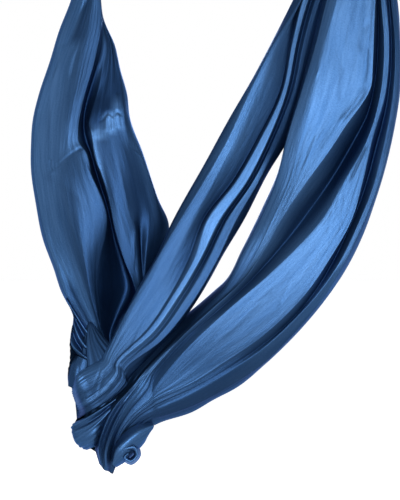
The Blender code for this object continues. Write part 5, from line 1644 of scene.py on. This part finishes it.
@dataclass(frozen=True)
class LooseEnd:
    """The loose hem above the stopper knot, fanned out in two ruffled runs between the rope's strands."""

    side: Side
    flat: tuple[float, float] = (0.21, 0.018)
    waves: int = 9
    reach: float = 0.0292
    spread: tuple[tuple[float, float], ...] = ((0.0, 0.36), (0.3, 0.55), (0.7, 0.88), (1.0, 1.0))
    offset: float = 0.0033
    turn: tuple[float, float] = (0.95, 0.10)
    ruffle: float = 0.0029
    ruffle_growth: float = 0.25
    roundness: float = 0.7
    uneven: float = 0.18
    lean: float = 0.10
    dip: float = 0.16
    dips: float = 2.3
    columns: int = 288
    rows: int = 22

    def build(self, finish: bpy.types.Material) -> bpy.types.Object:
        """Args:
            finish: Its material.

        Returns:
            The finished piece.
        """
        rows, columns = np.linspace(0.0, 1.0, self.rows), np.linspace(0.0, 2.0, self.columns)
        v, w = np.meshgrid(rows, columns, indexing="ij")
        there = np.where(w < 1.0, 2.0 * w - 1.0, 3.0 - 2.0 * w)
        reach = self.reach * np.interp(v, *zip(*self.spread))
        begins, length = self.turn
        run = -np.cos(math.pi * np.clip((w - begins) / length, 0.0, 1.0))
        wave = np.sin(2 * math.pi * (self.waves * w + self.uneven * np.sin(5.0 * w) + self.lean * v))
        grown = 1.0 - self.ruffle_growth * (1.0 - v)
        ruffle = np.sign(wave) * np.abs(wave) ** self.roundness * self.ruffle * grown
        dip = self.dip * (0.5 + 0.5 * np.sin(2 * math.pi * self.dips * w + 1.0))
        height = FRILL_LOW_Z + (FRILL_TOP_Z - FRILL_LOW_Z) * v * (1.0 - dip)
        points = np.stack((self.side.x + run * self.offset + ruffle, there * reach, height), axis=2)
        # Painted shade, growing towards the frill's lower edge at the stopper knot.
        made = cloth_piece(f"{self.side.value}_loose_end", points[::-1], finish, 0.5 * (1.0 - v[::-1]))
        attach(made, "hammock")
        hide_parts(f"{self.side.value}_end_frill")
        return made


def build_ends(finish: bpy.types.Material, rope: bpy.types.Material) -> None:
    """Builds the ropes, the stopper knots and the loose ends of both sides."""
    for side in Side:
        sling, knot = BraidedSling(side).build(rope), StopperKnot(side).build(finish)
        for piece in (sling, knot, LooseEnd(side).build(finish)):
            log.info("%s: %d faces", piece.name, len(piece.data.polygons))


def build_knot(finish: bpy.types.Material) -> None:
    """Builds the turns of the low knot round its heart."""
    KnotHeart().build(finish)
    for turn in KNOT_TURNS:
        made = turn.build(finish)
        log.info("%s: %d faces", made.name, len(made.data.polygons))


def build_cloth(finish: bpy.types.Material) -> None:
    """Builds the three hanging lengths of the cloth."""
    left = HungCloth(
        name="left_hanging_cloth", x=LEFT_X, folds=LEFT_FOLDS, depths=LEFT_DEPTHS, flat=(1.5, 1.10),
        pleats=Pleats(seed=11, count=44.0, depth=0.0034, top=0.13, low=0.08, rest=0.0001), end=0.905,
        rests_on=("left_braided_sling",), stands_for=("left_gather", "left_drape", "left_collar"),
        creases=LEFT_CREASES, fine=(0.42, 0.59, 2.3),
    )
    inner = HungCloth(
        name="right_inner_cloth", x=RIGHT_X, folds=INNER_FOLDS, depths=INNER_DEPTHS, flat=(0.5, 1.25),
        pleats=Pleats(seed=23, count=22.0, depth=0.0026, top=0.15, low=0.08, rest=0.0001), end=1.22,
        rests_on=("right_braided_sling",), stands_for=("right_inner_band", "knot_front_wrap"),
        wrap_stations=(1.01, 1.055, 1.10, 1.16, 1.22), creases=INNER_CREASES,
    )
    outer = HungCloth(
        name="right_outer_cloth", x=RIGHT_X, folds=OUTER_FOLDS, depths=OUTER_DEPTHS, flat=(1.0, 1.30),
        pleats=Pleats(seed=37, count=30.0, depth=0.0028, top=0.14, low=0.08, rest=0.0001), end=1.16,
        rests_on=("right_braided_sling",),
        stands_for=("right_gather", "right_outer_band", "knot_outer_tuck", "knot_tail_pleats"),
        wrap_stations=(1.01, 1.05, 1.09, 1.125, 1.16), creases=OUTER_CREASES,
    )
    for cloth in (left, inner, outer):
        made = cloth.build(finish)
        log.info("%s: %d faces", made.name, len(made.data.polygons))


def main() -> None:
    """Builds the hammock's looks in order."""
    logging.basicConfig(level=logging.INFO, format="%(message)s")
    Studio().build()
    satin = SatinNylon().build()
    build_cloth(satin)
    build_knot(satin)
    build_ends(satin, BlackRope().build())
    steel = BrushedSteel().build()
    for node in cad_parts.values():
        for slot in node.material_slots:
            if slot.name.startswith("bright_steel"):
                slot.material = steel


if __name__ == "__main__":
    main()
